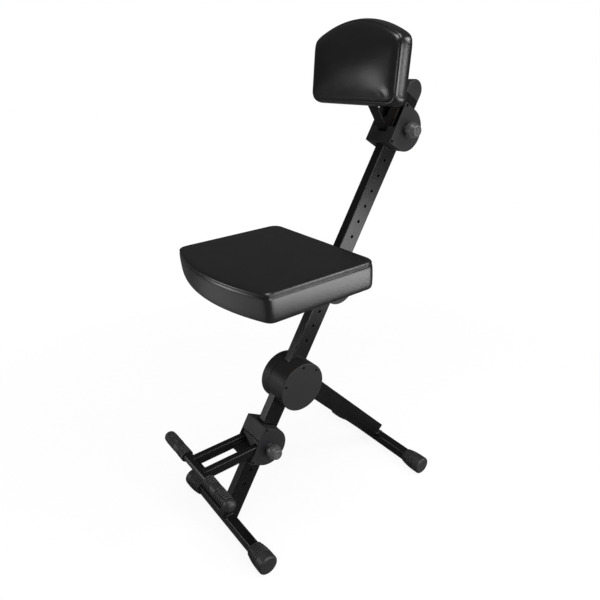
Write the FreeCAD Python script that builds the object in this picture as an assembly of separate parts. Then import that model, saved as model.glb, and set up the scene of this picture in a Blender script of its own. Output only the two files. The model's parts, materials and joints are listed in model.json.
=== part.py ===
import FreeCAD, Part
import math
import os
from FreeCAD import Placement, Rotation, Vector

# Folding performer's stool: a leaning mast, a hinged rear leg and three locking carriages on the mast.
# Millimetres, +Z up, the sitter faces -Y and the lock knobs are on the +X side.
# The origin is on the floor, in the middle of the stool's outer box.

# Mast and leg tube
TUBE_X = 25.0
TUBE_Y = 50.0
TUBE_WALL = 2.0
TUBE_CORNER = 2.8
MAST_LEAN = 30.0
MAST_LENGTH = 1143.0
CAP_STRAIGHT = 16.0
CAP_PLUG = 18.0
CAP_ROUND = 3.0

# Index holes in the mast's right side, measured up the mast from the front crossbar
HOLE_PITCH = 40.0
FOOT_HOLE_FIRST = 100.0
FOOT_HOLE_COUNT = 5
UPPER_HOLE_FIRST = 500.0
HOLE_TOP_MARGIN = 43.0
FOOTREST_HOLE = 3
SEAT_HOLE = 4
BACKREST_FROM_TOP = 1

# Crossbars and rubber feet
BAR_Y = 26.0
BAR_Z = 30.0
BAR_WALL = 2.0
BAR_CORNER = 5.0
BAR_HALF = 188.0
MAST_FOOT = 4.0
STANCE = 541.0
FOOT_RADIUS = 25.0
FOOT_LENGTH = 60.0
FOOT_FLAT = 0.6
FOOT_END_WALL = 8.0
FOOT_RIBS = 5
FOOT_RIB_PITCH = 7.4
FOOT_RIB_DEPTH = 2.0
FOOT_MOUTH_RADIUS = 20.6
FOOT_END_ROUND = 5.0

# Hub drum, its pivot and the leg's place on the pivot
HUB_UP = 390.0
HUB_BEFORE_PIVOT = 28.0
HUB_ROOM = 2.0
HUB_HALF = 44.0
HUB_PARTING = -15.0
HUB_WALL = 3.0
HUB_EDGE = 2.0
HUB_GROOVE = 1.0
HUB_SCREW_SETBACK = 10.0
HUB_SCREW_ANGLES = (68.0, 117.0, 190.0)
PLATE = 5.0
PLATE_SETBACK = 4.5
PIVOT_BEHIND_MAST = 23.0
PIVOT_RADIUS = 6.0
PIVOT_HEAD = 7.0
PIVOT_HEAD_FLATS = 18.0
BUSH_WALL = 3.0
LEG_PIVOT_DROP = 8.0
LEG_BAR_DROP = 9.5
LEG_INNER_END = 14.0
LEG_SHORT_OF_BAR = 16.0
STOP_LENGTH = 12.0
STOP_THICK = 4.0

# Carriage
CARRIAGE_HALF = 40.0
COVER_RADIUS = 50.0
COVER_WALL = 3.0
COVER_EDGE = 1.6
SLEEVE_WALL = 3.0
SLEEVE_HALF = 40.0
GLIDE_WALL = 1.5
GLIDE_LENGTH = 22.0
FRONT_WALL = 4.0
FRONT_WALL_GAP = 4.8
FRONT_WALL_EDGE = 12.0
BRACKET_PLATE = 4.0
BRACKET_GROOVE = 4.0
CLAMP_SCREW_UP = 44.5
CLAMP_SCREW_SETBACK = 6.5
SCREW_RADIUS = 2.0
SCREW_HEAD_RADIUS = 3.5
SCREW_SUNK = 8.0
BOSS_RADIUS = 4.0

# Lock: pin, spring, bushing and knob
PIN_RADIUS = 3.5
PIN_DEPTH = 3.0
PULL = 4.0
PIN_FLANGE_RADIUS = 6.0
PIN_FLANGE = 2.0
BUSHING_RADIUS = 9.0
BUSHING_COLLAR_RADIUS = 12.0
BUSHING_COLLAR = 4.0
BUSHING_END = 3.0
SPRING_RADIUS = 6.0
SPRING_BORE = 4.4
KNOB_RADIUS = 18.0
KNOB_LENGTH = 29.0
KNOB_BASE_RADIUS = 15.0
KNOB_END_RADIUS = 12.5
KNOB_WIDEST = 6.0
KNOB_SHOULDER = 16.0
KNOB_ROUND = 7.0
KNOB_RING_RADIUS = 8.5
KNOB_RING = 1.0

# Arms of the seat and the footrest
ARM_X = 16.0
ARM_Z = 25.0
ARM_WALL = 2.0
ARM_CORNER = 3.0
ARM_CENTRE = 28.0

# Footrest
FOOT_BAR_REACH = 177.0
FOOT_BAR_RISE = 4.0
FOOT_BAR_RADIUS = 11.0
FOOT_BAR_WALL = 2.0
GRIP_END = 157.0
GRIP_START = 52.0
GRIP_RADIUS = 15.4
GRIP_INNER_RIBS = 4
GRIP_OUTER_RIBS = 6
GRIP_RIB_PITCH = 7.0
GRIP_RIB_DEPTH = 2.0
GRIP_BAND = 18.0
GRIP_END_WALL = 7.0
TIE_THICK = 4.0
TIE_REAR_LENGTH = 41.0
TIE_FRONT_LENGTH = 3.0

# Seat, from its back edge and underside
SEAT_HALF = 185.0
SEAT_DEPTH = 323.0
SEAT_BULGE = 37.0
SEAT_THICK = 64.0
SEAT_CROWN = 5.0
SEAT_TAPER = 8.0
SEAT_TOP_ROUND = 11.0
SEAT_LOW_ROUND = 6.0
SEAT_BACK_ROUND = 25.0
SEAT_FRONT_ROUND = 24.0
SEAT_FRONT_TUCK = 12.0
SEAT_RAKE = 0.055
SEAT_TILT = 1.5
SEAT_FORWARD = 20.5
SEAT_RISE = 44.5
SEAT_BOARD = 12.0
SEAT_BOARD_INSET = 20.0
SEAT_ARM_LENGTH = 240.0
SEAT_BOLT_ROWS = (60.0, 200.0)

# Backrest pad, from its back face and bottom edge
PAD_HALF = 134.5
PAD_SIDE = 131.0
PAD_HEIGHT = 169.0
PAD_THICK = 40.0
PAD_CROWN = 6.0
PAD_TAPER = 4.0
PAD_FRONT_ROUND = 14.0
PAD_BACK_ROUND = 5.0
PAD_LOW_ROUND = 21.0
PAD_HIGH_ROUND = 28.0
PAD_LEAN = 4.0
PAD_FORWARD = 119.0
PAD_RISE = 59.5
PAD_BOARD = 10.0
PAD_BOARD_INSET = 18.0
STRIP_X = 28.0
STRIP_THICK = 4.5
STRIP_FOOT = 14.0
STRIP_BEND = -20.0
STRIP_MEETS_PAD = 44.0
STRIP_TOP = 124.0
PAD_BOLT_ROWS = (64.0, 104.0)
BOLT_RADIUS = 4.0
BOLT_HEAD_RADIUS = 7.0
BOLT_HEAD = 5.0
BOLT_GRIP = 9.0

# Fits
RUNNING = 0.05
SLIDING = 0.3
LOOSE = 0.4

X_AXIS = Vector(1, 0, 0)
SIN_LEAN = math.sin(math.radians(MAST_LEAN))
COS_LEAN = math.cos(math.radians(MAST_LEAN))
AXLE_Z = FOOT_RADIUS - FOOT_FLAT
LEG_X = TUBE_X - 2 * LOOSE

# The outer box runs from the front of the foot bar's grips to the back of the mast's cap
footrest_up = FOOT_HOLE_FIRST + HOLE_PITCH * FOOTREST_HOLE
seat_up = UPPER_HOLE_FIRST + HOLE_PITCH * SEAT_HOLE
upper_holes = int((MAST_LENGTH - HOLE_TOP_MARGIN - UPPER_HOLE_FIRST) / HOLE_PITCH) + 1
backrest_up = UPPER_HOLE_FIRST + HOLE_PITCH * (upper_holes - 1 - BACKREST_FROM_TOP)
front_y = footrest_up * SIN_LEAN - FOOT_BAR_REACH - GRIP_RADIUS
rear_y = (MAST_LENGTH + CAP_STRAIGHT) * SIN_LEAN + TUBE_Y / 2
BAR_PLACE = Vector(0, -(front_y + rear_y) / 2, AXLE_Z)
MAST = Placement(BAR_PLACE, Rotation(X_AXIS, -MAST_LEAN))
REAR_BAR_PLACE = BAR_PLACE + Vector(0, STANCE, 0)
PIVOT_BACK = TUBE_Y / 2 + PIVOT_BEHIND_MAST
HUB_BACK = PIVOT_BACK - HUB_BEFORE_PIVOT
SLEEVE_X = TUBE_X / 2 + SLIDING + GLIDE_WALL + SLEEVE_WALL
SLEEVE_Y = TUBE_Y / 2 + SLIDING + GLIDE_WALL + SLEEVE_WALL
CARRIAGE_FRONT = SLEEVE_Y + FRONT_WALL_GAP + FRONT_WALL
CLAMP_SCREW_FRONT = CARRIAGE_FRONT - CLAMP_SCREW_SETBACK

nodes = {}


def box(x, y, z):
    """A box from three (low, high) pairs."""
    return Part.makeBox(x[1] - x[0], y[1] - y[0], z[1] - z[0], Vector(x[0], y[0], z[0]))


def rod(radius, x0, x1, y=0.0, z=0.0):
    """A round bar along X."""
    return Part.makeCylinder(radius, x1 - x0, Vector(x0, y, z), X_AXIS)


def turned(profile):
    """A piece turned about the X axis from (x, radius) corners."""
    points = [Vector(x, r, 0) for x, r in profile]
    face = Part.Face(Part.makePolygon(points + points[:1]))
    return face.revolve(Vector(0, 0, 0), X_AXIS, 360)


def rounded_rectangle(x, y, corner):
    """A closed wire in the XY plane, centred, with round corners."""
    a, b = x / 2, y / 2
    c = min(corner, a * 0.95, b * 0.95)
    k = c * (1 - math.sqrt(0.5))
    runs = [((a, -b + c), (a, b - c)), ((a - c, b), (-a + c, b)),
            ((-a, b - c), (-a, -b + c)), ((-a + c, -b), (a - c, -b))]
    middles = [(a - k, b - k), (-a + k, b - k), (-a + k, -b + k), (a - k, -b + k)]
    edges = []
    for i, (start, end) in enumerate(runs):
        after = runs[(i + 1) % 4][0]
        edges.append(Part.LineSegment(Vector(*start, 0), Vector(*end, 0)).toShape())
        edges.append(Part.Arc(Vector(*end, 0), Vector(*middles[i], 0), Vector(*after, 0)).toShape())
    return Part.Wire(edges)


def rounded_bar(x, y, corner, z0, z1):
    """A solid bar of rounded rectangular section along Z."""
    bar = Part.Face(rounded_rectangle(x, y, corner)).extrude(Vector(0, 0, z1 - z0))
    bar.translate(Vector(0, 0, z0))
    return bar


def rectangular_tube(x, y, wall, corner, z0, z1):
    """A rectangular tube along Z."""
    inner = rounded_bar(x - 2 * wall, y - 2 * wall, max(corner - wall, 0.5), z0, z1)
    return rounded_bar(x, y, corner, z0, z1).cut(inner)


def moved(shape, placement):
    """A copy of a shape, carried into a frame."""
    copy = shape.copy()
    copy.Placement = placement.multiply(copy.Placement)
    return copy


def mirrored(shape):
    """The other side's copy of a shape."""
    return shape.mirror(Vector(0, 0, 0), X_AXIS)


def fused(*shapes):
    """One solid from pieces that are welded or moulded together."""
    whole = shapes[0].multiFuse(list(shapes[1:]))
    return whole.removeSplitter()


def hexagon(flats, x0, x1, y=0.0, z=0.0):
    """A hexagonal bar along X."""
    radius = flats / math.sqrt(3)
    corners = [Vector(x0, y + radius * math.cos(math.radians(60 * i)), z + radius * math.sin(math.radians(60 * i)))
               for i in range(6)]
    return Part.Face(Part.makePolygon(corners + corners[:1])).extrude(Vector(x1 - x0, 0, 0))


def edges_at_x(shape, x, radius):
    """The round edges of one radius in the plane at x."""
    found = []
    for edge in shape.Edges:
        curve = edge.Curve
        if isinstance(curve, Part.Circle) and abs(curve.Radius - radius) < 1e-3 and abs(curve.Center.x - x) < 1e-3:
            found.append(edge)
    return found


def crossbar_outline():
    """The crossbar's outer block, about its own centre."""
    bar = rounded_bar(BAR_Z, BAR_Y, BAR_CORNER, -BAR_HALF + FOOT_END_WALL, BAR_HALF - FOOT_END_WALL)
    return moved(bar, Placement(Vector(0, 0, 0), Rotation(Vector(0, 1, 0), 90)))


def crossbar():
    """A crossbar tube along X, about its own centre."""
    reach = BAR_HALF - FOOT_END_WALL
    bar = rectangular_tube(BAR_Z, BAR_Y, BAR_WALL, BAR_CORNER, -reach, reach)
    return moved(bar, Placement(Vector(0, 0, 0), Rotation(Vector(0, 1, 0), 90)))


def rubber_foot():
    """A ribbed rubber foot on the crossbar's +X end, flat where it stands on the floor."""
    start = BAR_HALF - FOOT_LENGTH
    profile = [(start, 0)]
    for i in range(FOOT_RIBS):
        x = start + i * FOOT_RIB_PITCH
        crest = FOOT_RADIUS - (FOOT_RADIUS - FOOT_MOUTH_RADIUS) * (1 - i / FOOT_RIBS) ** 2
        groove = crest - FOOT_RIB_DEPTH
        profile += [(x, crest - 0.4), (x + 0.15 * FOOT_RIB_PITCH, crest), (x + 0.5 * FOOT_RIB_PITCH, crest)]
        profile += [(x + 0.65 * FOOT_RIB_PITCH, groove), (x + 0.88 * FOOT_RIB_PITCH, groove)]
    profile += [(start + FOOT_RIBS * FOOT_RIB_PITCH, FOOT_RADIUS), (BAR_HALF, FOOT_RADIUS), (BAR_HALF, 0)]
    foot = turned(profile)
    foot = foot.makeFillet(FOOT_END_ROUND, edges_at_x(foot, BAR_HALF, FOOT_RADIUS))
    floor = box((start - 1, BAR_HALF + 1), (-2 * FOOT_RADIUS, 2 * FOOT_RADIUS), (-2 * FOOT_RADIUS, -AXLE_Z))
    return foot.cut(crossbar_outline()).cut(floor)


def add_feet(body, place):
    """A crossbar's two rubber feet."""
    for side, shape in (("right", rubber_foot()), ("left", mirrored(rubber_foot()))):
        nodes[f"{body}_foot_{side}"] = moved(shape, Placement(place, Rotation()))


def index_holes():
    """The drills for the mast's two rows of index holes, in the mast's frame."""
    ups = [FOOT_HOLE_FIRST + HOLE_PITCH * i for i in range(FOOT_HOLE_COUNT)]
    ups += [UPPER_HOLE_FIRST + HOLE_PITCH * i for i in range(upper_holes)]
    return [rod(PIN_RADIUS + SLIDING, TUBE_X / 2 - 2 * TUBE_WALL, TUBE_X / 2 + 1, 0, up) for up in ups]


def add_mast():
    """The mast, coped over the front crossbar, with its cap, crossbar and feet."""
    tube = rectangular_tube(TUBE_X, TUBE_Y, TUBE_WALL, TUBE_CORNER, MAST_FOOT, MAST_LENGTH)
    tube = moved(tube.cut(index_holes()), MAST)
    bar = moved(crossbar_outline(), Placement(BAR_PLACE, Rotation()))
    nodes["mast_tube"] = tube.cut(bar)
    nodes["mast_top_cap"] = moved(mast_cap(), MAST)
    nodes["front_crossbar"] = moved(crossbar(), Placement(BAR_PLACE, Rotation()))
    add_feet("front", BAR_PLACE)


def mast_cap():
    """The mast's end cap: round over its top, with a plug in the tube."""
    half = TUBE_Y / 2
    centre = MAST_LENGTH + CAP_STRAIGHT
    corners = [Vector(-TUBE_X / 2, -half, MAST_LENGTH), Vector(-TUBE_X / 2, half, MAST_LENGTH),
               Vector(-TUBE_X / 2, half, centre), Vector(-TUBE_X / 2, -half, centre)]
    top = Vector(-TUBE_X / 2, 0, centre + half)
    outline = Part.Wire([
        Part.LineSegment(corners[0], corners[1]).toShape(), Part.LineSegment(corners[1], corners[2]).toShape(),
        Part.Arc(corners[2], top, corners[3]).toShape(), Part.LineSegment(corners[3], corners[0]).toShape()])
    dome = Part.Face(outline).extrude(Vector(TUBE_X, 0, 0))
    crown = [e for e in dome.Edges if e.BoundBox.ZMax > MAST_LENGTH + 1 and e.BoundBox.XLength < 1e-6]
    dome = dome.makeFillet(CAP_ROUND, crown)
    plug = rounded_bar(TUBE_X - 2 * TUBE_WALL, TUBE_Y - 2 * TUBE_WALL, TUBE_CORNER - TUBE_WALL,
                       MAST_LENGTH - CAP_PLUG, MAST_LENGTH)
    return fused(dome, plug)


def pivot_point():
    """The rear leg's pivot."""
    return MAST.multVec(Vector(0, PIVOT_BACK, HUB_UP))


def leg_frame():
    """The rear leg's frame: at the pivot, Z down the leg, Y to its underside."""
    run = REAR_BAR_PLACE - pivot_point()
    offset = LEG_BAR_DROP - LEG_PIVOT_DROP
    slope = math.degrees(math.atan2(-run.z, run.y) - math.asin(offset / run.Length))
    return Placement(pivot_point(), Rotation(X_AXIS, -(90 + slope))), slope


LEG, LEG_SLOPE = leg_frame()
LEG_FOLD = 90 + MAST_LEAN - LEG_SLOPE
STOP_UNDER = -LEG_PIVOT_DROP - TUBE_Y / 2 - SLIDING
stop_corner = LEG.multVec(Vector(0, STOP_UNDER - STOP_THICK, STOP_LENGTH))
HUB_CENTRE = MAST.multVec(Vector(0, HUB_BACK, HUB_UP))
HUB_RADIUS = (stop_corner - HUB_CENTRE).Length + HUB_WALL + HUB_ROOM
PLATE_RADIUS = HUB_RADIUS - PLATE_SETBACK


def leg_outline(z0, z1, spare=0.0):
    """The leg tube's outer block in its own frame."""
    bar = rounded_bar(LEG_X + 2 * spare, TUBE_Y + 2 * spare, TUBE_CORNER, z0, z1)
    bar.translate(Vector(0, -LEG_PIVOT_DROP, 0))
    return bar


def add_rear_leg():
    """The rear leg with its bush, crossbar and feet."""
    run = LEG.inverse().multVec(REAR_BAR_PLACE)
    end = run.z - LEG_SHORT_OF_BAR
    tube = rectangular_tube(LEG_X, TUBE_Y, TUBE_WALL, TUBE_CORNER, -LEG_INNER_END, end)
    tube.translate(Vector(0, -LEG_PIVOT_DROP, 0))
    turning = rod(TUBE_Y / 2 + LEG_PIVOT_DROP - SLIDING, -LEG_X, LEG_X)
    outer = leg_outline(0, end, 1)
    tube = tube.common(fused(turning, outer))
    bush_radius = PIVOT_RADIUS + RUNNING + BUSH_WALL
    tube = tube.cut(rod(bush_radius, -LEG_X, LEG_X))
    bar = moved(crossbar_outline(), Placement(REAR_BAR_PLACE, Rotation()))
    nodes["rear_leg_tube"] = moved(tube, LEG).cut(bar)
    bush = rod(bush_radius, -LEG_X / 2, LEG_X / 2).cut(rod(PIVOT_RADIUS + RUNNING, -LEG_X, LEG_X))
    nodes["rear_leg_bush"] = moved(bush, LEG)
    nodes["rear_crossbar"] = moved(crossbar(), Placement(REAR_BAR_PLACE, Rotation()))
    add_feet("rear", REAR_BAR_PLACE)


def hub_screw_places():
    """The (back, up) places of the hub covers' screws, about the drum's centre."""
    circle = HUB_RADIUS - HUB_SCREW_SETBACK
    angles = [math.radians(a) for a in HUB_SCREW_ANGLES]
    return [(circle * math.cos(a), circle * math.sin(a)) for a in angles]


def hub_cup(rim):
    """A hub cover about the drum's axis: a disc, its rim and its screw bosses."""
    plate_face = TUBE_X / 2 + PLATE
    cup = rod(HUB_RADIUS, rim, HUB_HALF).cut(rod(HUB_RADIUS - HUB_WALL, rim - 1, HUB_HALF - HUB_WALL))
    cup = cup.makeFillet(HUB_EDGE, edges_at_x(cup, HUB_HALF, HUB_RADIUS))
    cup = cup.makeChamfer(HUB_GROOVE, edges_at_x(cup, rim, HUB_RADIUS))
    bosses = [rod(BOSS_RADIUS + 1, plate_face, HUB_HALF - HUB_WALL, y, z) for y, z in hub_screw_places()]
    cup = fused(cup, *bosses)
    bores = [rod(SCREW_RADIUS, 0, HUB_HALF + 1, y, z) for y, z in hub_screw_places()]
    sinks = [rod(SCREW_HEAD_RADIUS, HUB_HALF - SCREW_SUNK, HUB_HALF + 1, y, z) for y, z in hub_screw_places()]
    return cup.cut(bores + sinks)


def hub_screws():
    """One cover's screws about the drum's axis, sunk in the cover and threaded in the hub plate."""
    seat = HUB_HALF - SCREW_SUNK
    screws = []
    for y, z in hub_screw_places():
        shank = rod(SCREW_RADIUS, TUBE_X / 2, seat, y, z)
        screws.append(fused(shank, rod(SCREW_HEAD_RADIUS, seat, seat + SCREW_RADIUS, y, z)))
    return screws


def add_hub():
    """The drum round the pivot: plates on the mast, covers, screws, pivot bolt, nut and stop."""
    drum = MAST.multiply(Placement(Vector(0, HUB_BACK, HUB_UP), Rotation()))
    pivot = Placement(Vector(0, PIVOT_BACK - HUB_BACK, 0), Rotation())
    plate = rod(PLATE_RADIUS, TUBE_X / 2, TUBE_X / 2 + PLATE)
    plate = plate.cut([rod(SCREW_RADIUS, 0, TUBE_X, y, z) for y, z in hub_screw_places()])
    plate = plate.cut(moved(rod(PIVOT_RADIUS, 0, TUBE_X), pivot))
    mast_way = box((HUB_PARTING - 1, TUBE_X / 2 + LOOSE), (-TUBE_Y / 2 - LOOSE, TUBE_Y / 2 + LOOSE),
                   (-2 * HUB_RADIUS, 2 * HUB_RADIUS))
    mast_way.translate(Vector(0, -HUB_BACK, 0))
    right = hub_cup(HUB_PARTING).cut(mast_way)
    right = moved(right, drum).cut(leg_way())
    nodes["hub_cover_right"] = right
    nodes["hub_cover_left"] = moved(mirrored(hub_cup(-HUB_PARTING)), drum)
    nodes["hub_plate_right"] = moved(plate, drum)
    nodes["hub_plate_left"] = moved(mirrored(plate), drum)
    nodes["hub_cover_screws"] = Part.Compound(
        [moved(s, drum) for s in hub_screws()] + [moved(mirrored(s), drum) for s in hub_screws()])
    outer = TUBE_X / 2 + PLATE
    bolt = fused(rod(PIVOT_RADIUS, -outer - PIVOT_HEAD - 2, outer),
                 hexagon(PIVOT_HEAD_FLATS, outer, outer + PIVOT_HEAD))
    nut = hexagon(PIVOT_HEAD_FLATS, -outer - PIVOT_HEAD, -outer).cut(rod(PIVOT_RADIUS, -2 * outer, 0))
    nodes["pivot_bolt"] = moved(moved(bolt, pivot), drum)
    nodes["pivot_nut"] = moved(moved(nut, pivot), drum)
    stop = box((-TUBE_X / 2, TUBE_X / 2), (STOP_UNDER - STOP_THICK, STOP_UNDER), (0, STOP_LENGTH))
    nodes["leg_stop"] = moved(stop, LEG)


def leg_way():
    """The slot in the drum's wall that the leg swings through, from open to folded."""
    steps = math.ceil(LEG_FOLD / 12)
    swept = []
    for i in range(steps + 1):
        turn = Placement(Vector(0, 0, 0), Rotation(X_AXIS, -LEG_FOLD * i / steps))
        swept.append(moved(leg_outline(0, 2 * HUB_RADIUS, 1.5), LEG.multiply(turn)))
    return fused(*swept)


def carriage_frame(up):
    """A carriage's frame: at its pin's axis, Z up the mast, Y to the back."""
    return MAST.multiply(Placement(Vector(0, 0, up), Rotation()))


def level_frame(up):
    """A frame at a carriage's pin axis that stays level."""
    return Placement(MAST.multVec(Vector(0, 0, up)), Rotation())


def sleeve():
    """The steel sleeve round the mast."""
    tube = rectangular_tube(2 * SLEEVE_X, 2 * SLEEVE_Y, SLEEVE_WALL, TUBE_CORNER + SLEEVE_WALL,
                            -SLEEVE_HALF, SLEEVE_HALF)
    return tube.cut(rod(PIN_RADIUS + SLIDING, 0, 2 * SLEEVE_X))


def glides():
    """The plastic glides in the sleeve's two ends."""
    x, y = TUBE_X + 2 * (SLIDING + GLIDE_WALL), TUBE_Y + 2 * (SLIDING + GLIDE_WALL)
    upper = rectangular_tube(x, y, GLIDE_WALL, TUBE_CORNER, SLEEVE_HALF - GLIDE_LENGTH, SLEEVE_HALF)
    lower = rectangular_tube(x, y, GLIDE_WALL, TUBE_CORNER, -SLEEVE_HALF, -SLEEVE_HALF + GLIDE_LENGTH)
    return Part.Compound([upper, lower])


def d_outline(x0, x1, inset, front):
    """A D-shaped block along X: flat in front, half round about the pin's axis behind."""
    r = COVER_RADIUS - inset
    low_front, low = Vector(x0, -front, -r), Vector(x0, 0, -r)
    high, high_front = Vector(x0, 0, r), Vector(x0, -front, r)
    outline = Part.Wire([
        Part.LineSegment(low_front, low).toShape(), Part.Arc(low, Vector(x0, r, 0), high).toShape(),
        Part.LineSegment(high, high_front).toShape(), Part.LineSegment(high_front, low_front).toShape()])
    return Part.Face(outline).extrude(Vector(x1 - x0, 0, 0))


def cover(knob_side):
    """A carriage's +X cover: a D-shaped cup, open to the front, with its screw bosses."""
    rim = SLEEVE_X + LOOSE
    cup = d_outline(rim, CARRIAGE_HALF, 0, CARRIAGE_FRONT)
    face = [e for e in cup.Edges if e.BoundBox.XMin > CARRIAGE_HALF - 1e-3]
    cup = cup.makeFillet(COVER_EDGE, face)
    cup = cup.cut(d_outline(rim - 1, CARRIAGE_HALF - COVER_WALL, COVER_WALL, CARRIAGE_FRONT + 1))
    places = [(-CLAMP_SCREW_FRONT, CLAMP_SCREW_UP), (-CLAMP_SCREW_FRONT, -CLAMP_SCREW_UP)]
    cup = fused(cup, *[rod(BOSS_RADIUS, rim, CARRIAGE_HALF - COVER_WALL, y, z) for y, z in places])
    cup = cup.cut([rod(SCREW_RADIUS, 0, CARRIAGE_HALF - SCREW_SUNK, y, z) for y, z in places])
    if not knob_side:
        return cup
    cup = cup.cut([rod(SCREW_HEAD_RADIUS, CARRIAGE_HALF - SCREW_SUNK, CARRIAGE_HALF + 1, y, z) for y, z in places])
    return cup.cut(rod(BUSHING_RADIUS, 0, CARRIAGE_HALF + 1))


def clamp_screws():
    """The two screws that run across a carriage and clamp its covers."""
    seat = CARRIAGE_HALF - SCREW_SUNK
    screws = []
    for up in (CLAMP_SCREW_UP, -CLAMP_SCREW_UP):
        shank = rod(SCREW_RADIUS, -seat, seat, -CLAMP_SCREW_FRONT, up)
        screws.append(fused(shank, rod(SCREW_HEAD_RADIUS, seat, seat + SCREW_RADIUS, -CLAMP_SCREW_FRONT, up)))
    return Part.Compound(screws)


def front_wall(end):
    """A carriage's front wall between its covers, at its upper (end 1) or lower (end -1) end."""
    half = CARRIAGE_HALF - COVER_WALL - RUNNING
    back = -CARRIAGE_FRONT + FRONT_WALL
    rim = SLEEVE_X + LOOSE
    wall = box((-half, half), (-CARRIAGE_FRONT, back), (FRONT_WALL_EDGE, COVER_RADIUS - COVER_WALL))
    cap = box((-rim, rim), (-CARRIAGE_FRONT, -TUBE_Y / 2 - SLIDING), (COVER_RADIUS - COVER_WALL, COVER_RADIUS))
    lug = box((-rim, rim), (back, -CLAMP_SCREW_FRONT + BOSS_RADIUS),
              (CLAMP_SCREW_UP - BOSS_RADIUS, COVER_RADIUS - COVER_WALL))
    whole = fused(wall, cap, lug)
    notch = rod(BOSS_RADIUS, rim, half, -CLAMP_SCREW_FRONT, CLAMP_SCREW_UP)
    whole = whole.cut([notch, mirrored(notch)])
    whole = whole.cut(rod(SCREW_RADIUS, -half, half, -CLAMP_SCREW_FRONT, CLAMP_SCREW_UP))
    if end > 0:
        return whole
    return whole.mirror(Vector(0, 0, 0), Vector(0, 0, 1))


def bracket_plate(end):
    """The plate on the sleeve's front that carries the arms, clear of the front wall."""
    half = ARM_CENTRE + ARM_X / 2
    near = FRONT_WALL_EDGE - BRACKET_GROOVE
    up = (-SLEEVE_HALF, near) if end > 0 else (-near, SLEEVE_HALF)
    return box((-half, half), (-SLEEVE_Y - BRACKET_PLATE, -SLEEVE_Y), up)


def arm_pair(length):
    """Two arms along -Y from Y = 0, level, about their own middle height."""
    arm = rectangular_tube(ARM_X, ARM_Z, ARM_WALL, ARM_CORNER, 0, length)
    arm = moved(arm, Placement(Vector(ARM_CENTRE, 0, 0), Rotation(X_AXIS, 90)))
    return [arm, mirrored(arm)]


def arm_ends(length):
    """Plates that close the arms' front ends."""
    end = rounded_bar(ARM_X, ARM_Z, ARM_CORNER, length - ARM_WALL, length)
    end = moved(end, Placement(Vector(ARM_CENTRE, 0, 0), Rotation(X_AXIS, 90)))
    return [end, mirrored(end)]


def behind_plate(up):
    """The space behind a bracket plate's front face, for trimming arms."""
    face = -SLEEVE_Y - BRACKET_PLATE
    return moved(box((-200, 200), (face, 400), (-300, 300)), carriage_frame(up))


def lock_bushing():
    """The bushing on the sleeve's side that guides the lock pin and holds its spring."""
    start, chamber = SLEEVE_X, SLEEVE_X + BUSHING_END
    end = CARRIAGE_HALF + BUSHING_COLLAR
    outer = fused(rod(BUSHING_RADIUS, start, end), rod(BUSHING_COLLAR_RADIUS, CARRIAGE_HALF, end))
    bore = rod(PIN_RADIUS + RUNNING, start, end)
    return outer.cut([bore, rod(PIN_FLANGE_RADIUS + LOOSE, chamber, end - BUSHING_END)])


def lock_pin():
    """The lock pin, engaged: its nose in the mast's hole, its flange in the bushing."""
    nose = TUBE_X / 2 - PIN_DEPTH
    flange = SLEEVE_X + BUSHING_END + LOOSE
    tail = CARRIAGE_HALF + BUSHING_COLLAR + KNOB_LENGTH / 2
    chamfer = PIN_DEPTH / 4
    return turned([(nose, 0), (nose, PIN_RADIUS - chamfer), (nose + chamfer, PIN_RADIUS), (flange, PIN_RADIUS),
                   (flange, PIN_FLANGE_RADIUS), (flange + PIN_FLANGE, PIN_FLANGE_RADIUS),
                   (flange + PIN_FLANGE, PIN_RADIUS), (tail, PIN_RADIUS), (tail, 0)])


def lock_spring(pull):
    """The spring's outer form between the pin's flange and the bushing's end."""
    start = SLEEVE_X + BUSHING_END + LOOSE + PIN_FLANGE + pull
    end = CARRIAGE_HALF + BUSHING_COLLAR - BUSHING_END
    return rod(SPRING_RADIUS, start, end).cut(rod(SPRING_BORE, start, end))


def lock_knob():
    """The pull knob: a full round body with a ring groove in its end."""
    base = CARRIAGE_HALF + BUSHING_COLLAR + LOOSE
    shoulder, end = base + KNOB_SHOULDER, base + KNOB_LENGTH
    knob = turned([(base, 0), (base, KNOB_BASE_RADIUS), (base + KNOB_WIDEST, KNOB_RADIUS), (shoulder, KNOB_RADIUS),
                   (end, KNOB_END_RADIUS), (end, 0)])
    knob = knob.makeFillet(KNOB_ROUND, edges_at_x(knob, shoulder, KNOB_RADIUS))
    knob = knob.makeFillet(KNOB_ROUND / 2, edges_at_x(knob, end, KNOB_END_RADIUS))
    ring = rod(KNOB_RING_RADIUS, end - KNOB_RING, end + 1).cut(rod(KNOB_RING_RADIUS - KNOB_RING, base, end + 1))
    return knob.cut([ring, lock_pin()])


def add_carriage(name, up, end, bracket, pull=0.0, slot=None):
    """One carriage with its covers and lock.

    bracket is what is welded to its sleeve, in place. slot is what its front wall leaves room for.
    """
    frame = carriage_frame(up)
    nodes[f"{name}_carriage"] = fused(moved(sleeve(), frame), *bracket)
    nodes[f"{name}_glides"] = moved(glides(), frame)
    nodes[f"{name}_cover_right"] = moved(cover(True), frame)
    nodes[f"{name}_cover_left"] = moved(mirrored(cover(False)), frame)
    wall = front_wall(end)
    nodes[f"{name}_front_wall"] = moved(wall.cut(slot) if slot else wall, frame)
    nodes[f"{name}_cover_screws"] = moved(clamp_screws(), frame)
    nodes[f"{name}_lock_bushing"] = moved(lock_bushing(), frame)
    pulled = frame.multiply(Placement(Vector(pull, 0, 0), Rotation()))
    nodes[f"{name}_lock_pin"] = moved(lock_pin(), pulled)
    nodes[f"{name}_lock_knob"] = moved(lock_knob(), pulled)
    nodes[f"{name}_lock_spring"] = moved(lock_spring(pull), frame)


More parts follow.
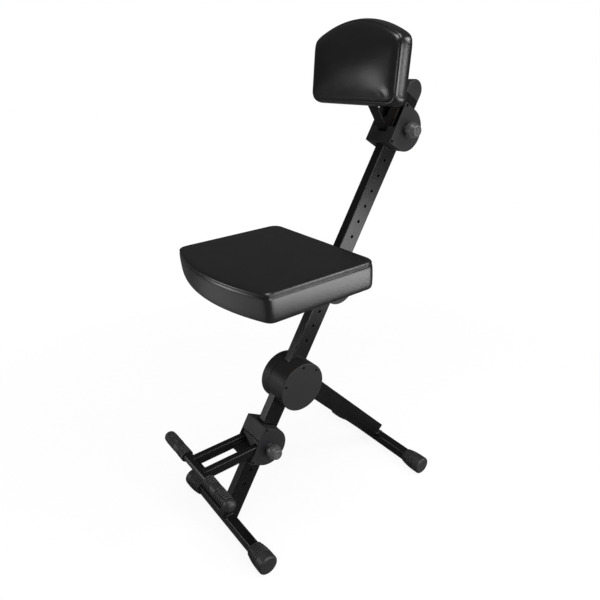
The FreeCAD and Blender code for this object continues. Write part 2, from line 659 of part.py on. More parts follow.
def foot_grip():
    """The foot bar's +X grip: two ribbed stretches, a smooth band between and a round end."""
    low = GRIP_RADIUS - GRIP_RIB_DEPTH
    outer = GRIP_START + GRIP_INNER_RIBS * GRIP_RIB_PITCH + GRIP_BAND
    profile = [(GRIP_START, 0)]
    for start, count in ((GRIP_START, GRIP_INNER_RIBS), (outer, GRIP_OUTER_RIBS)):
        for i in range(count):
            x = start + i * GRIP_RIB_PITCH
            profile += [(x, GRIP_RADIUS - 0.4), (x + 0.15 * GRIP_RIB_PITCH, GRIP_RADIUS)]
            profile += [(x + 0.45 * GRIP_RIB_PITCH, GRIP_RADIUS), (x + 0.6 * GRIP_RIB_PITCH, GRIP_RADIUS - 0.4)]
            profile += [(x + 0.7 * GRIP_RIB_PITCH, low), (x + 0.9 * GRIP_RIB_PITCH, low)]
        profile += [(start + count * GRIP_RIB_PITCH, GRIP_RADIUS - 0.5)]
    profile += [(GRIP_END, GRIP_RADIUS - 0.5), (GRIP_END, 0)]
    grip = turned(profile)
    grip = grip.makeFillet(0.8 * GRIP_RADIUS, edges_at_x(grip, GRIP_END, GRIP_RADIUS - 0.5))
    return grip.cut(rod(FOOT_BAR_RADIUS, GRIP_START - 1, GRIP_END - GRIP_END_WALL))


def add_footrest():
    """The footrest: carriage with two level arms, foot bar and grips. Its knob is drawn pulled."""
    bar_frame = level_frame(footrest_up).multiply(
        Placement(Vector(0, -FOOT_BAR_REACH, FOOT_BAR_RISE), Rotation()))
    reach = GRIP_END - GRIP_END_WALL
    solid_bar = rod(FOOT_BAR_RADIUS, -reach, reach)
    arms = arm_pair(FOOT_BAR_REACH)
    inner = ARM_CENTRE - ARM_X / 2
    carriage_face = carriage_frame(footrest_up).multVec(Vector(0, -SLEEVE_Y - BRACKET_PLATE, 0))
    root = bar_frame.inverse().multVec(carriage_face).y
    ties = [box((-inner, inner), (root - TIE_REAR_LENGTH, root + TUBE_Y), (-TIE_THICK / 2, TIE_THICK / 2)),
            box((-inner, inner), (0, FOOT_BAR_RADIUS + TIE_FRONT_LENGTH), (-TIE_THICK / 2, TIE_THICK / 2))]
    for arm in arms:
        arm.translate(Vector(0, FOOT_BAR_REACH, 0))
    frame_parts = [moved(p.cut(solid_bar), bar_frame).cut(behind_plate(footrest_up)) for p in arms + ties]
    plate = moved(bracket_plate(1), carriage_frame(footrest_up))
    add_carriage("footrest", footrest_up, 1, [plate] + frame_parts, PULL)
    bar = solid_bar.cut(rod(FOOT_BAR_RADIUS - FOOT_BAR_WALL, -reach, reach))
    nodes["foot_bar"] = moved(bar, bar_frame)
    nodes["foot_grip_right"] = moved(foot_grip(), bar_frame)
    nodes["foot_grip_left"] = moved(mirrored(foot_grip()), bar_frame)


def seat_outline(inset, z):
    """The seat's outline at one height: straight back and sides, bowed front, round corners, raked forward."""
    a = SEAT_HALF - inset
    rake = SEAT_RAKE * z
    back, corner = -inset - rake, -(SEAT_DEPTH - SEAT_BULGE) + inset - rake
    front = -SEAT_DEPTH + inset - rake
    r = SEAT_BACK_ROUND - inset / 3
    f = SEAT_FRONT_ROUND + SEAT_FRONT_TUCK * max(0, 1 - inset / SEAT_TAPER)
    k, m = r * (1 - math.sqrt(0.5)), f * (1 - math.sqrt(0.5))
    bow = (corner - front) / (a * a)
    edge = a - f
    dip = corner - (corner - front) * (1 - (edge / a) ** 2)
    right = [Vector(a, back - r, z), Vector(a, corner + f, z)]
    left = [Vector(-a, corner + f, z), Vector(-a, back - r, z)]
    low_right, low_left = Vector(edge, dip, z), Vector(-edge, dip, z)
    low_mid = Vector(a - m, corner + m - bow * f * f / 2, z)
    return Part.Wire([
        Part.LineSegment(right[0], right[1]).toShape(),
        Part.Arc(right[1], low_mid, low_right).toShape(),
        Part.Arc(low_right, Vector(0, front, z), low_left).toShape(),
        Part.Arc(low_left, Vector(-low_mid.x, low_mid.y, z), left[0]).toShape(),
        Part.LineSegment(left[0], left[1]).toShape(),
        Part.Arc(left[1], Vector(-a + k, back - k, z), Vector(-a + r, back, z)).toShape(),
        Part.LineSegment(Vector(-a + r, back, z), Vector(a - r, back, z)).toShape(),
        Part.Arc(Vector(a - r, back, z), Vector(a - k, back - k, z), right[0]).toShape()])


def padded(outlines, top, out, half, crown, top_round, low_round):
    """An upholstered block between two outlines, crowned by a large ball, with soft edges.

    top is the crown's highest point, out the way that it faces, half the block's half width.
    """
    block = Part.makeLoft(outlines, True, True)
    radius = (half * half + crown * crown) / (2 * crown)
    block = block.common(Part.makeSphere(radius, top - out * radius))
    rims = {}
    for edge in block.Edges:
        reach = [(v.Point - top).dot(out) for v in edge.Vertexes]
        if max(reach) - min(reach) < crown:
            rims.setdefault(reach[0] > -crown - top_round, []).append(edge)
    block = block.makeFillet(top_round, rims[True])
    base = [e for e in block.Edges if all((v.Point - outlines[0].CenterOfMass).dot(out) < 1e-3 for v in e.Vertexes)]
    return block.makeFillet(low_round, base)


def add_seat():
    """The seat: carriage with two arms, board, bolts and upholstered cushion."""
    seat = level_frame(seat_up).multiply(
        Placement(Vector(0, -SEAT_FORWARD, SEAT_RISE), Rotation(X_AXIS, SEAT_TILT)))
    arms = []
    length = SEAT_ARM_LENGTH + SEAT_FORWARD
    for tube, end in zip(arm_pair(length), arm_ends(length)):
        arm = tube.fuse(end)
        arm.translate(Vector(0, SEAT_FORWARD, -ARM_Z / 2))
        for y in SEAT_BOLT_ROWS:
            for side in (-1, 1):
                drill = Part.makeCylinder(BOLT_RADIUS + LOOSE, 2 * ARM_Z, Vector(side * ARM_CENTRE, -y, -1.5 * ARM_Z))
                arm = arm.cut(drill)
        arms.append(moved(arm, seat).cut(behind_plate(seat_up)))
    plate = moved(bracket_plate(-1), carriage_frame(seat_up))
    add_carriage("seat", seat_up, -1, [plate] + arms)
    bolts = []
    for y in SEAT_BOLT_ROWS:
        for side in (-1, 1):
            foot = Vector(side * ARM_CENTRE, -y, -ARM_Z - BOLT_HEAD)
            head = Part.makeCylinder(BOLT_HEAD_RADIUS, BOLT_HEAD, foot)
            bolts.append(fused(head, Part.makeCylinder(BOLT_RADIUS, BOLT_HEAD + ARM_Z + BOLT_GRIP, foot)))
    board = Part.Face(seat_outline(SEAT_BOARD_INSET, 0)).extrude(Vector(0, 0, SEAT_BOARD))
    cushion = padded([seat_outline(0, 0), seat_outline(SEAT_TAPER, SEAT_THICK + SEAT_CROWN)],
                     Vector(0, -SEAT_DEPTH / 2, SEAT_THICK + SEAT_CROWN), Vector(0, 0, 1), SEAT_HALF, SEAT_CROWN,
                     SEAT_TOP_ROUND, SEAT_LOW_ROUND)
    nodes["seat_cushion"] = moved(cushion.cut(board), seat)
    nodes["seat_board"] = moved(board.cut(bolts), seat)
    nodes["seat_bolts"] = Part.Compound([moved(b, seat) for b in bolts])


def pad_outline(inset, y):
    """The backrest pad's outline at one depth: straight base and sides, arched top, round corners."""
    a, low = PAD_HALF - inset, inset
    side, crown = PAD_SIDE - inset / 2, PAD_HEIGHT - inset
    r, t = PAD_LOW_ROUND - inset / 4, PAD_HIGH_ROUND - inset / 4
    k, m = r * (1 - math.sqrt(0.5)), t * (1 - math.sqrt(0.5))
    shoulder = side + (crown - side) * (1 - ((a - t) / a) ** 2)
    top_right = Vector(a - t, y, shoulder)
    mid_right = Vector(a - m, y, (side - t + shoulder) / 2 + m / 2)
    return Part.Wire([
        Part.LineSegment(Vector(-a + r, y, low), Vector(a - r, y, low)).toShape(),
        Part.Arc(Vector(a - r, y, low), Vector(a - k, y, low + k), Vector(a, y, low + r)).toShape(),
        Part.LineSegment(Vector(a, y, low + r), Vector(a, y, side - t)).toShape(),
        Part.Arc(Vector(a, y, side - t), mid_right, top_right).toShape(),
        Part.Arc(top_right, Vector(0, y, crown), Vector(-top_right.x, y, shoulder)).toShape(),
        Part.Arc(Vector(-top_right.x, y, shoulder), Vector(-mid_right.x, y, mid_right.z),
                 Vector(-a, y, side - t)).toShape(),
        Part.LineSegment(Vector(-a, y, side - t), Vector(-a, y, low + r)).toShape(),
        Part.Arc(Vector(-a, y, low + r), Vector(-a + k, y, low + k), Vector(-a + r, y, low)).toShape()])


def bent_strip(points):
    """A flat bar bent along (y, z) points, with round bends, across X."""
    pieces = []
    for i, (start, end) in enumerate(zip(points, points[1:])):
        run = end - start
        bar = box((-STRIP_X / 2, STRIP_X / 2), (-STRIP_THICK / 2, STRIP_THICK / 2), (0, run.Length))
        lean = math.degrees(math.atan2(-run.y, run.z))
        pieces.append(moved(bar, Placement(start, Rotation(X_AXIS, lean))))
        if i:
            pieces.append(rod(STRIP_THICK / 2, -STRIP_X / 2, STRIP_X / 2, start.y, start.z))
    return fused(*pieces)


def add_backrest():
    """The backrest: carriage with a bent strip, board, bolts and upholstered pad."""
    pad_frame = level_frame(backrest_up).multiply(
        Placement(Vector(0, -PAD_FORWARD, PAD_RISE), Rotation(X_AXIS, -PAD_LEAN)))
    carriage = carriage_frame(backrest_up)
    line = -SLEEVE_Y - STRIP_THICK / 2
    path = [carriage.multVec(Vector(0, line, STRIP_FOOT)), carriage.multVec(Vector(0, line, STRIP_BEND)),
            pad_frame.multVec(Vector(0, STRIP_THICK / 2, STRIP_MEETS_PAD)),
            pad_frame.multVec(Vector(0, STRIP_THICK / 2, STRIP_TOP))]
    bolts = []
    for z in PAD_BOLT_ROWS:
        start = Vector(0, STRIP_THICK + BOLT_HEAD, z)
        head = Part.makeCylinder(BOLT_HEAD_RADIUS, BOLT_HEAD, start, Vector(0, -1, 0))
        shank = Part.makeCylinder(BOLT_RADIUS, BOLT_HEAD + STRIP_THICK + BOLT_GRIP, start, Vector(0, -1, 0))
        bolts.append(fused(head, shank))
    strip = bent_strip(path).cut([moved(b, pad_frame) for b in bolts])
    slot = box((-STRIP_X / 2 - LOOSE, STRIP_X / 2 + LOOSE), (-2 * CARRIAGE_FRONT, 0),
               (STRIP_BEND - STRIP_THICK, 0))
    add_carriage("backrest", backrest_up, -1, [strip], 0.0, slot)
    board = Part.Face(pad_outline(PAD_BOARD_INSET, 0)).extrude(Vector(0, -PAD_BOARD, 0))
    pad = padded([pad_outline(0, 0), pad_outline(PAD_TAPER, -PAD_THICK - PAD_CROWN)],
                 Vector(0, -PAD_THICK - PAD_CROWN, PAD_HEIGHT / 2), Vector(0, -1, 0), PAD_HALF, PAD_CROWN,
                 PAD_FRONT_ROUND, PAD_BACK_ROUND)
    nodes["backrest_pad"] = moved(pad.cut(board), pad_frame)
    nodes["backrest_board"] = moved(board.cut(bolts), pad_frame)
    nodes["backrest_bolts"] = Part.Compound([moved(b, pad_frame) for b in bolts])


def main():
    """Builds every sub-part and writes it."""
    add_mast()
    add_hub()
    add_rear_leg()
    add_footrest()
    add_seat()
    add_backrest()
    os.makedirs("parts", exist_ok=True)
    for name, shape in nodes.items():
        shape.exportStep(f"parts/{name}.step")
    pivot = pivot_point()
    print(f"pivot y {pivot.y:.4f} z {pivot.z:.4f}, leg slope {LEG_SLOPE:.4f}, fold {LEG_FOLD:.4f}")
    print(f"front crossbar y {BAR_PLACE.y:.4f} z {BAR_PLACE.z:.4f}, rear y {REAR_BAR_PLACE.y:.4f}")


main()
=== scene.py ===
"""Looks of a folding musician stool: finishes, upholstery, staples, welds, lock springs, studio and camera.

Every size is in metres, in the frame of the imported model: +Z up, the sitter faces -Y, knobs on the +X side.
"""

import json
import logging
import math
from dataclasses import dataclass, field
from enum import Enum
from typing import Callable, Dict, List, Sequence, Tuple

import bmesh
import bpy
from mathutils import Euler, Matrix, Vector

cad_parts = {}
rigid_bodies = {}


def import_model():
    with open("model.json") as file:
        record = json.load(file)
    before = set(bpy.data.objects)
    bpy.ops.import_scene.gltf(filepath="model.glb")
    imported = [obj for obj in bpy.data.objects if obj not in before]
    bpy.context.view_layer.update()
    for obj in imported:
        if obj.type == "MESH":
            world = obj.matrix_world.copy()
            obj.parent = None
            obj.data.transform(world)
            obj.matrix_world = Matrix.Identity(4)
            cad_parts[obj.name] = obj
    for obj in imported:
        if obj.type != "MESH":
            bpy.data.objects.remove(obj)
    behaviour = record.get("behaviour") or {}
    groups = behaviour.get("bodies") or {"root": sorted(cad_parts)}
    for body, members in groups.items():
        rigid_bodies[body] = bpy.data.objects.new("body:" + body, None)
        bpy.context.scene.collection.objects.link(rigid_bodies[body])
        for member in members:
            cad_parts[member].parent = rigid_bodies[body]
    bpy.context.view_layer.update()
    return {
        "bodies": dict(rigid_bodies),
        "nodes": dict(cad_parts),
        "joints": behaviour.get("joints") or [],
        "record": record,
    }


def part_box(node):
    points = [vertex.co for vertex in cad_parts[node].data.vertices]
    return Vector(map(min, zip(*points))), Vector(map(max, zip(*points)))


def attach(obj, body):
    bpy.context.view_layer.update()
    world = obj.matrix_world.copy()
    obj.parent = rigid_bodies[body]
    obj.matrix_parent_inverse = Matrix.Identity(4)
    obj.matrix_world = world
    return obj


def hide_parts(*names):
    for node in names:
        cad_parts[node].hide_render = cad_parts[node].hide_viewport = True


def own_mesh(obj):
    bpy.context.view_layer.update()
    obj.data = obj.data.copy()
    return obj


log = logging.getLogger("musician_stool")

Colour = Tuple[float, float, float]
Point = Tuple[float, float, float]
Pair = Tuple[float, float]
Ring = List[Vector]

WHITE = (1.0, 1.0, 1.0, 1.0)

# How far a drawn knob pulls its pin. Its spring gets that much shorter.
KNOB_PULL = 0.004

# Shader values that are the same in every finish that uses them.
PATCH_SHARE = 0.7
SPECK_SHARE = 0.3
MOTTLE_CONTRAST = 1.6
EDGE_SAMPLES = 6
PEBBLE_DEPTH = -0.7
HIDE_WARP = 0.0012
GROOVE_GAIN = 4.0

# A soft corner's handles, as a share of the distance between its ends.
CORNER_REACH = 0.55

# A weld's path round a crossbar, in shares of the bar's half depth and half height.
WELD_PROFILE = ((-0.8, 1.0), (0.62, 1.0), (0.86, 0.9), (1.0, 0.66), (1.0, -0.2))


class Slot(Enum):
    """The record's material slots."""

    FRAME = "frame_paint"
    COVER = "cover_plastic"
    KNOB = "knob_plastic"
    RUBBER = "rubber"
    GLIDE = "glide_plastic"
    STEEL = "zinc_steel"
    SCREW = "black_screws"
    PLYWOOD = "plywood"
    UPHOLSTERY = "upholstery"


class NodeKit:
    """A small helper that adds and joins nodes of one node tree."""

    def __init__(self, tree: bpy.types.NodeTree) -> None:
        """Keeps the tree that nodes are added to."""
        self.tree = tree

    def add(self, kind: str, **values: object) -> bpy.types.Node:
        """Adds a node.

        Args:
            kind: The node's type name.
            values: Attributes of the node, or values of its input sockets by name with _ for a space.

        Returns:
            The new node.
        """
        node = self.tree.nodes.new(kind)
        for name, value in values.items():
            if hasattr(node, name):
                setattr(node, name, value)
            else:
                self.socket(node, name.replace("_", " ")).default_value = value
        return node

    @staticmethod
    def socket(node: bpy.types.Node, name: str) -> bpy.types.NodeSocket:
        """The enabled input socket of that name."""
        return next(s for s in node.inputs if s.name == name and s.enabled)

    def join(self, out: bpy.types.NodeSocket, node: bpy.types.Node, name: str) -> None:
        """Links an output to the named input of a node."""
        self.tree.links.new(out, self.socket(node, name))

    def feed(self, socket: bpy.types.NodeSocket, value: object) -> None:
        """Gives an input a link, a colour or a number.

        Args:
            socket: The input.
            value: An output socket, a colour without its alpha, or a number.
        """
        if isinstance(value, bpy.types.NodeSocket):
            self.tree.links.new(value, socket)
        elif isinstance(value, tuple):
            socket.default_value = (*value, 1.0)
        else:
            socket.default_value = value

    def math(self, operation: str, a: object, b: object = 0.0, clamp: bool = False) -> bpy.types.NodeSocket:
        """Adds a Math node on two sockets or numbers.

        Args:
            operation: The node's operation.
            a: First socket or number.
            b: Second socket or number.
            clamp: Whether the result is kept between 0 and 1.

        Returns:
            The result's socket.
        """
        node = self.add("ShaderNodeMath", operation=operation, use_clamp=clamp)
        for socket, value in zip(node.inputs, (a, b)):
            self.feed(socket, value)
        return node.outputs[0]

    def mix(self, factor: object, a: object, b: object) -> bpy.types.NodeSocket:
        """Adds a colour mix of two sockets or colours.

        Args:
            factor: Socket or number, 0 for a and 1 for b.
            a: First socket or colour.
            b: Second socket or colour.

        Returns:
            The mixed colour's socket.
        """
        node = self.add("ShaderNodeMix", data_type="RGBA")
        for socket, value in zip((node.inputs[0], node.inputs[6], node.inputs[7]), (factor, a, b)):
            self.feed(socket, value)
        return node.outputs[2]

    def mix_shader(self, factor: bpy.types.NodeSocket, a: bpy.types.Node,
                   b: bpy.types.Node) -> bpy.types.Node:
        """Adds a mix of two shaders.

        Args:
            factor: Socket, 0 for a and 1 for b.
            a: First shader's node.
            b: Second shader's node.

        Returns:
            The mix's node.
        """
        node = self.add("ShaderNodeMixShader")
        for socket, value in zip(node.inputs, (factor, a.outputs[0], b.outputs[0])):
            self.tree.links.new(value, socket)
        return node

    def ramp(self, value: bpy.types.NodeSocket, span: Pair, levels: Pair) -> bpy.types.NodeSocket:
        """Adds a straight ramp that stays level beyond its ends.

        Args:
            value: The number that runs along the ramp.
            span: Where the ramp starts and ends.
            levels: The results there.

        Returns:
            The result's socket.
        """
        node = self.add("ShaderNodeMapRange", From_Min=span[0], From_Max=span[1],
                        To_Min=levels[0], To_Max=levels[1])
        self.join(value, node, "Value")
        return node.outputs[0]

    def mirrored(self, rays: bpy.types.Node) -> bpy.types.NodeSocket:
        """Says whether a ray comes by way of a glossy or a clear surface.

        Args:
            rays: The Light Path node.

        Returns:
            The result's socket.
        """
        return self.math("MAXIMUM", rays.outputs["Is Glossy Ray"], rays.outputs["Is Transmission Ray"])


def added(name: str, data: bpy.types.ID) -> bpy.types.Object:
    """Adds an object of that name and data to the scene."""
    made = bpy.data.objects.new(name, data)
    bpy.context.scene.collection.objects.link(made)
    return made


def shade_smooth(data: bpy.types.Mesh) -> None:
    """Shades every face of a mesh smooth."""
    for face in data.polygons:
        face.use_smooth = True


def facing(place: Vector, aim: Vector) -> Euler:
    """The rotation of a camera or a light that stands at a place and faces a point."""
    return (aim - place).to_track_quat("-Z", "Y").to_euler()


def skin_rings(mesh: bmesh.types.BMesh, rings: Sequence[Ring]) -> List[List[bmesh.types.BMVert]]:
    """Joins closed rings of equal count with quads, each to the next.

    Args:
        mesh: The mesh that takes the quads.
        rings: The rings' points.

    Returns:
        The new vertices, ring by ring.
    """
    layers = [[mesh.verts.new(p) for p in ring] for ring in rings]
    for low, high in zip(layers, layers[1:]):
        for i in range(len(low)):
            j = (i + 1) % len(low)
            mesh.faces.new((low[i], low[j], high[j], high[i]))
    return layers


def finished(mesh: bmesh.types.BMesh, name: str) -> bpy.types.Mesh:
    """Turns a closed mesh under edit into mesh data with its faces outward.

    Args:
        mesh: The mesh, which is freed.
        name: The data's name.

    Returns:
        The mesh data.
    """
    bmesh.ops.recalc_face_normals(mesh, faces=mesh.faces)
    data = bpy.data.meshes.new(name)
    mesh.to_mesh(data)
    mesh.free()
    return data


class Effects:
    """Shader node groups that several finishes share, each built once."""

    def __init__(self) -> None:
        """Builds the groups."""
        self.texture = self._texture()
        self.mottle = self._mottle()
        self.hide_grain = self._hide_grain()

    @staticmethod
    def _group(name: str, inputs: Dict[str, float], outputs: Sequence[str]) -> NodeKit:
        """Makes an empty group with a Vector input, number inputs and number outputs.

        Args:
            name: The group's name.
            inputs: Number inputs and their default values.
            outputs: Names of the number outputs.

        Returns:
            The helper of the group's tree.
        """
        tree = bpy.data.node_groups.new(name, "ShaderNodeTree")
        tree.interface.new_socket("Vector", in_out="INPUT", socket_type="NodeSocketVector")
        for key, value in inputs.items():
            socket = tree.interface.new_socket(key, in_out="INPUT", socket_type="NodeSocketFloat")
            socket.default_value = value
        for key in outputs:
            tree.interface.new_socket(key, in_out="OUTPUT", socket_type="NodeSocketFloat")
        return NodeKit(tree)

    def _texture(self) -> bpy.types.NodeTree:
        """The pebbled skin of moulded plastic, rubber or powder coat."""
        kit = self._group("pebbled_skin", {"Size": 0.001, "Softness": 0.5}, ("Height", "Speck"))
        start, end = kit.add("NodeGroupInput"), kit.add("NodeGroupOutput")
        scale = kit.math("DIVIDE", 1.0, start.outputs["Size"])
        cells = kit.add("ShaderNodeTexVoronoi", feature="SMOOTH_F1")
        noise = kit.add("ShaderNodeTexNoise", Detail=3.0, Roughness=0.6)
        for node in (cells, noise):
            kit.join(start.outputs["Vector"], node, "Vector")
            kit.join(scale, node, "Scale")
        kit.join(start.outputs["Softness"], cells, "Smoothness")
        pebbles = kit.math("MULTIPLY", cells.outputs["Distance"], PEBBLE_DEPTH)
        kit.join(kit.math("ADD", pebbles, noise.outputs["Fac"]), end, "Height")
        kit.join(noise.outputs["Fac"], end, "Speck")
        return kit.tree

    def _mottle(self) -> bpy.types.NodeTree:
        """Broad uneven patches, such as handling marks and a thin film of dust."""
        kit = self._group("handling_mottle", {"Size": 0.08, "Contrast": 1.0}, ("Mask",))
        start, end = kit.add("NodeGroupInput"), kit.add("NodeGroupOutput")
        noise = kit.add("ShaderNodeTexNoise", Detail=4.0, Roughness=0.55, Distortion=0.6)
        kit.join(start.outputs["Vector"], noise, "Vector")
        kit.join(kit.math("DIVIDE", 1.0, start.outputs["Size"]), noise, "Scale")
        centred = kit.math("SUBTRACT", noise.outputs["Fac"], 0.5)
        spread = kit.math("MULTIPLY", centred, start.outputs["Contrast"])
        kit.join(kit.math("ADD", spread, 0.5, True), end, "Mask")
        return kit.tree

    def _hide_grain(self) -> bpy.types.NodeTree:
        """The embossed pores and creases of coated upholstery cloth."""
        kit = self._group("hide_grain", {"Size": 0.0016, "Crease": 0.5}, ("Height", "Pore"))
        start, end = kit.add("NodeGroupInput"), kit.add("NodeGroupOutput")
        warp = kit.add("ShaderNodeTexNoise", Scale=180.0, Detail=2.0)
        kit.join(start.outputs["Vector"], warp, "Vector")
        bend = kit.add("ShaderNodeVectorMath", operation="MULTIPLY_ADD")
        kit.feed(bend.inputs[0], warp.outputs["Color"])
        bend.inputs[1].default_value = (HIDE_WARP, HIDE_WARP, HIDE_WARP)
        kit.feed(bend.inputs[2], start.outputs["Vector"])
        cells = kit.add("ShaderNodeTexVoronoi", feature="DISTANCE_TO_EDGE")
        kit.join(bend.outputs[0], cells, "Vector")
        kit.join(kit.math("DIVIDE", 1.0, start.outputs["Size"]), cells, "Scale")
        groove = kit.math("MULTIPLY", cells.outputs["Distance"], GROOVE_GAIN, True)
        creases = kit.add("ShaderNodeTexNoise", Scale=60.0, Detail=5.0, Roughness=0.6)
        kit.join(start.outputs["Vector"], creases, "Vector")
        fold = kit.math("MULTIPLY", creases.outputs["Fac"], start.outputs["Crease"])
        kit.join(kit.math("ADD", groove, fold), end, "Height")
        kit.join(kit.math("SUBTRACT", 1.0, groove), end, "Pore")
        return kit.tree


@dataclass(frozen=True)
class Finish:
    """One surface finish of the stool.

    A skin of pebbles or hide grain gives the bump. A broad mottle varies colour and roughness. A softened
    edge catches the light where the coat or the mould rounds it.
    """

    slot: Slot
    colour: Colour
    shade: Colour
    roughness: float
    roughness_spread: float
    specular: float
    skin: float
    bump: float
    depth: float
    mottle: float = 0.09
    metallic: float = 0.0
    edge: float = 0.0
    hide: bool = False

    def material(self, effects: Effects) -> bpy.types.Material:
        """Builds the finish as a material on Object coordinates.

        Args:
            effects: The shared shader groups.

        Returns:
            The material.
        """
        made = bpy.data.materials.new(self.slot.value)
        made.use_nodes = True
        made.diffuse_color = (*self.colour, 1.0)
        made.node_tree.nodes.clear()
        kit = NodeKit(made.node_tree)
        place = kit.add("ShaderNodeTexCoord").outputs["Object"]
        grain = effects.hide_grain if self.hide else effects.texture
        skin = kit.add("ShaderNodeGroup", node_tree=grain, Size=self.skin)
        patch = kit.add("ShaderNodeGroup", node_tree=effects.mottle, Size=self.mottle,
                        Contrast=MOTTLE_CONTRAST)
        for group in (skin, patch):
            kit.join(place, group, "Vector")
        speck = kit.math("MULTIPLY", skin.outputs["Pore" if self.hide else "Speck"], SPECK_SHARE)
        blend = kit.math("ADD", kit.math("MULTIPLY", patch.outputs["Mask"], PATCH_SHARE), speck)
        shader = kit.add("ShaderNodeBsdfPrincipled", Metallic=self.metallic, Specular_IOR_Level=self.specular)
        kit.join(kit.mix(blend, self.colour, self.shade), shader, "Base Color")
        rough = kit.math("ADD", kit.math("MULTIPLY", blend, self.roughness_spread), self.roughness, True)
        kit.join(rough, shader, "Roughness")
        bump = kit.add("ShaderNodeBump", Strength=self.bump, Distance=self.depth)
        kit.join(skin.outputs["Height"], bump, "Height")
        if self.edge:
            rounded = kit.add("ShaderNodeBevel", samples=EDGE_SAMPLES, Radius=self.edge)
            kit.join(rounded.outputs["Normal"], bump, "Normal")
        kit.join(bump.outputs["Normal"], shader, "Normal")
        kit.join(shader.outputs["BSDF"], kit.add("ShaderNodeOutputMaterial"), "Surface")
        return made


FINISHES = (
    Finish(Slot.FRAME, (0.003, 0.003, 0.0033), (0.005, 0.005, 0.0054), roughness=0.22, roughness_spread=0.08,
           specular=0.33, skin=0.0011, bump=0.06, depth=0.0002, edge=0.0014),
    Finish(Slot.COVER, (0.012, 0.012, 0.013), (0.018, 0.018, 0.019), roughness=0.36, roughness_spread=0.10,
           specular=0.25, skin=0.0007, bump=0.18, depth=0.0002, edge=0.0012),
    Finish(Slot.KNOB, (0.05, 0.05, 0.051), (0.065, 0.065, 0.066), roughness=0.32, roughness_spread=0.10,
           specular=0.5, skin=0.0006, bump=0.10, depth=0.0002),
    Finish(Slot.RUBBER, (0.010, 0.010, 0.011), (0.016, 0.016, 0.017), roughness=0.42, roughness_spread=0.14,
           specular=0.5, skin=0.0008, bump=0.12, depth=0.0002),
    Finish(Slot.GLIDE, (0.70, 0.70, 0.67), (0.62, 0.61, 0.58), roughness=0.42, roughness_spread=0.10,
           specular=0.5, skin=0.0008, bump=0.1, depth=0.0002),
    Finish(Slot.STEEL, (0.56, 0.57, 0.59), (0.44, 0.45, 0.47), roughness=0.30, roughness_spread=0.14,
           specular=0.5, skin=0.0005, bump=0.08, depth=0.0001, metallic=1.0),
    Finish(Slot.SCREW, (0.010, 0.010, 0.011), (0.016, 0.016, 0.017), roughness=0.34, roughness_spread=0.12,
           specular=0.5, skin=0.0006, bump=0.1, depth=0.0001),
    Finish(Slot.PLYWOOD, (0.42, 0.29, 0.17), (0.30, 0.19, 0.10), roughness=0.58, roughness_spread=0.14,
           specular=0.35, skin=0.0014, bump=0.3, depth=0.0003, mottle=0.03),
    Finish(Slot.UPHOLSTERY, (0.007, 0.007, 0.0077), (0.010, 0.010, 0.0107), roughness=0.19,
           roughness_spread=0.08, specular=0.5, skin=0.0014, bump=0.16, depth=0.00025, mottle=0.12,
           hide=True),
)


class Wardrobe:
    """Every finish as a material, and the dressing of the model's own nodes."""

    def __init__(self) -> None:
        """Builds the materials."""
        effects = Effects()
        self.materials = {finish.slot: finish.material(effects) for finish in FINISHES}

    def dress(self, piece: bpy.types.Object, slot: Slot) -> None:
        """Gives a piece one finish."""
        piece.data.materials.clear()
        piece.data.materials.append(self.materials[slot])

    def dress_model(self, frame: Dict[str, object]) -> None:
        """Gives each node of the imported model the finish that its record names.
        """
        for entry in frame["record"]["subparts"]:
            self.dress(frame["nodes"][entry["node"]], Slot(entry["material_slot"]))
            log.info("dressed %s as %s", entry["node"], entry["material_slot"])


@dataclass(frozen=True)
class Cloth:
    """How a pad's cover behaves while it is filled."""

    steps: int = 20
    quality: int = 6
    mass: float = 0.4
    stretch: float = 40.0
    shear: float = 20.0
    bend: float = 2.0
    pressure: float = 1.2
    swell: float = 0.004


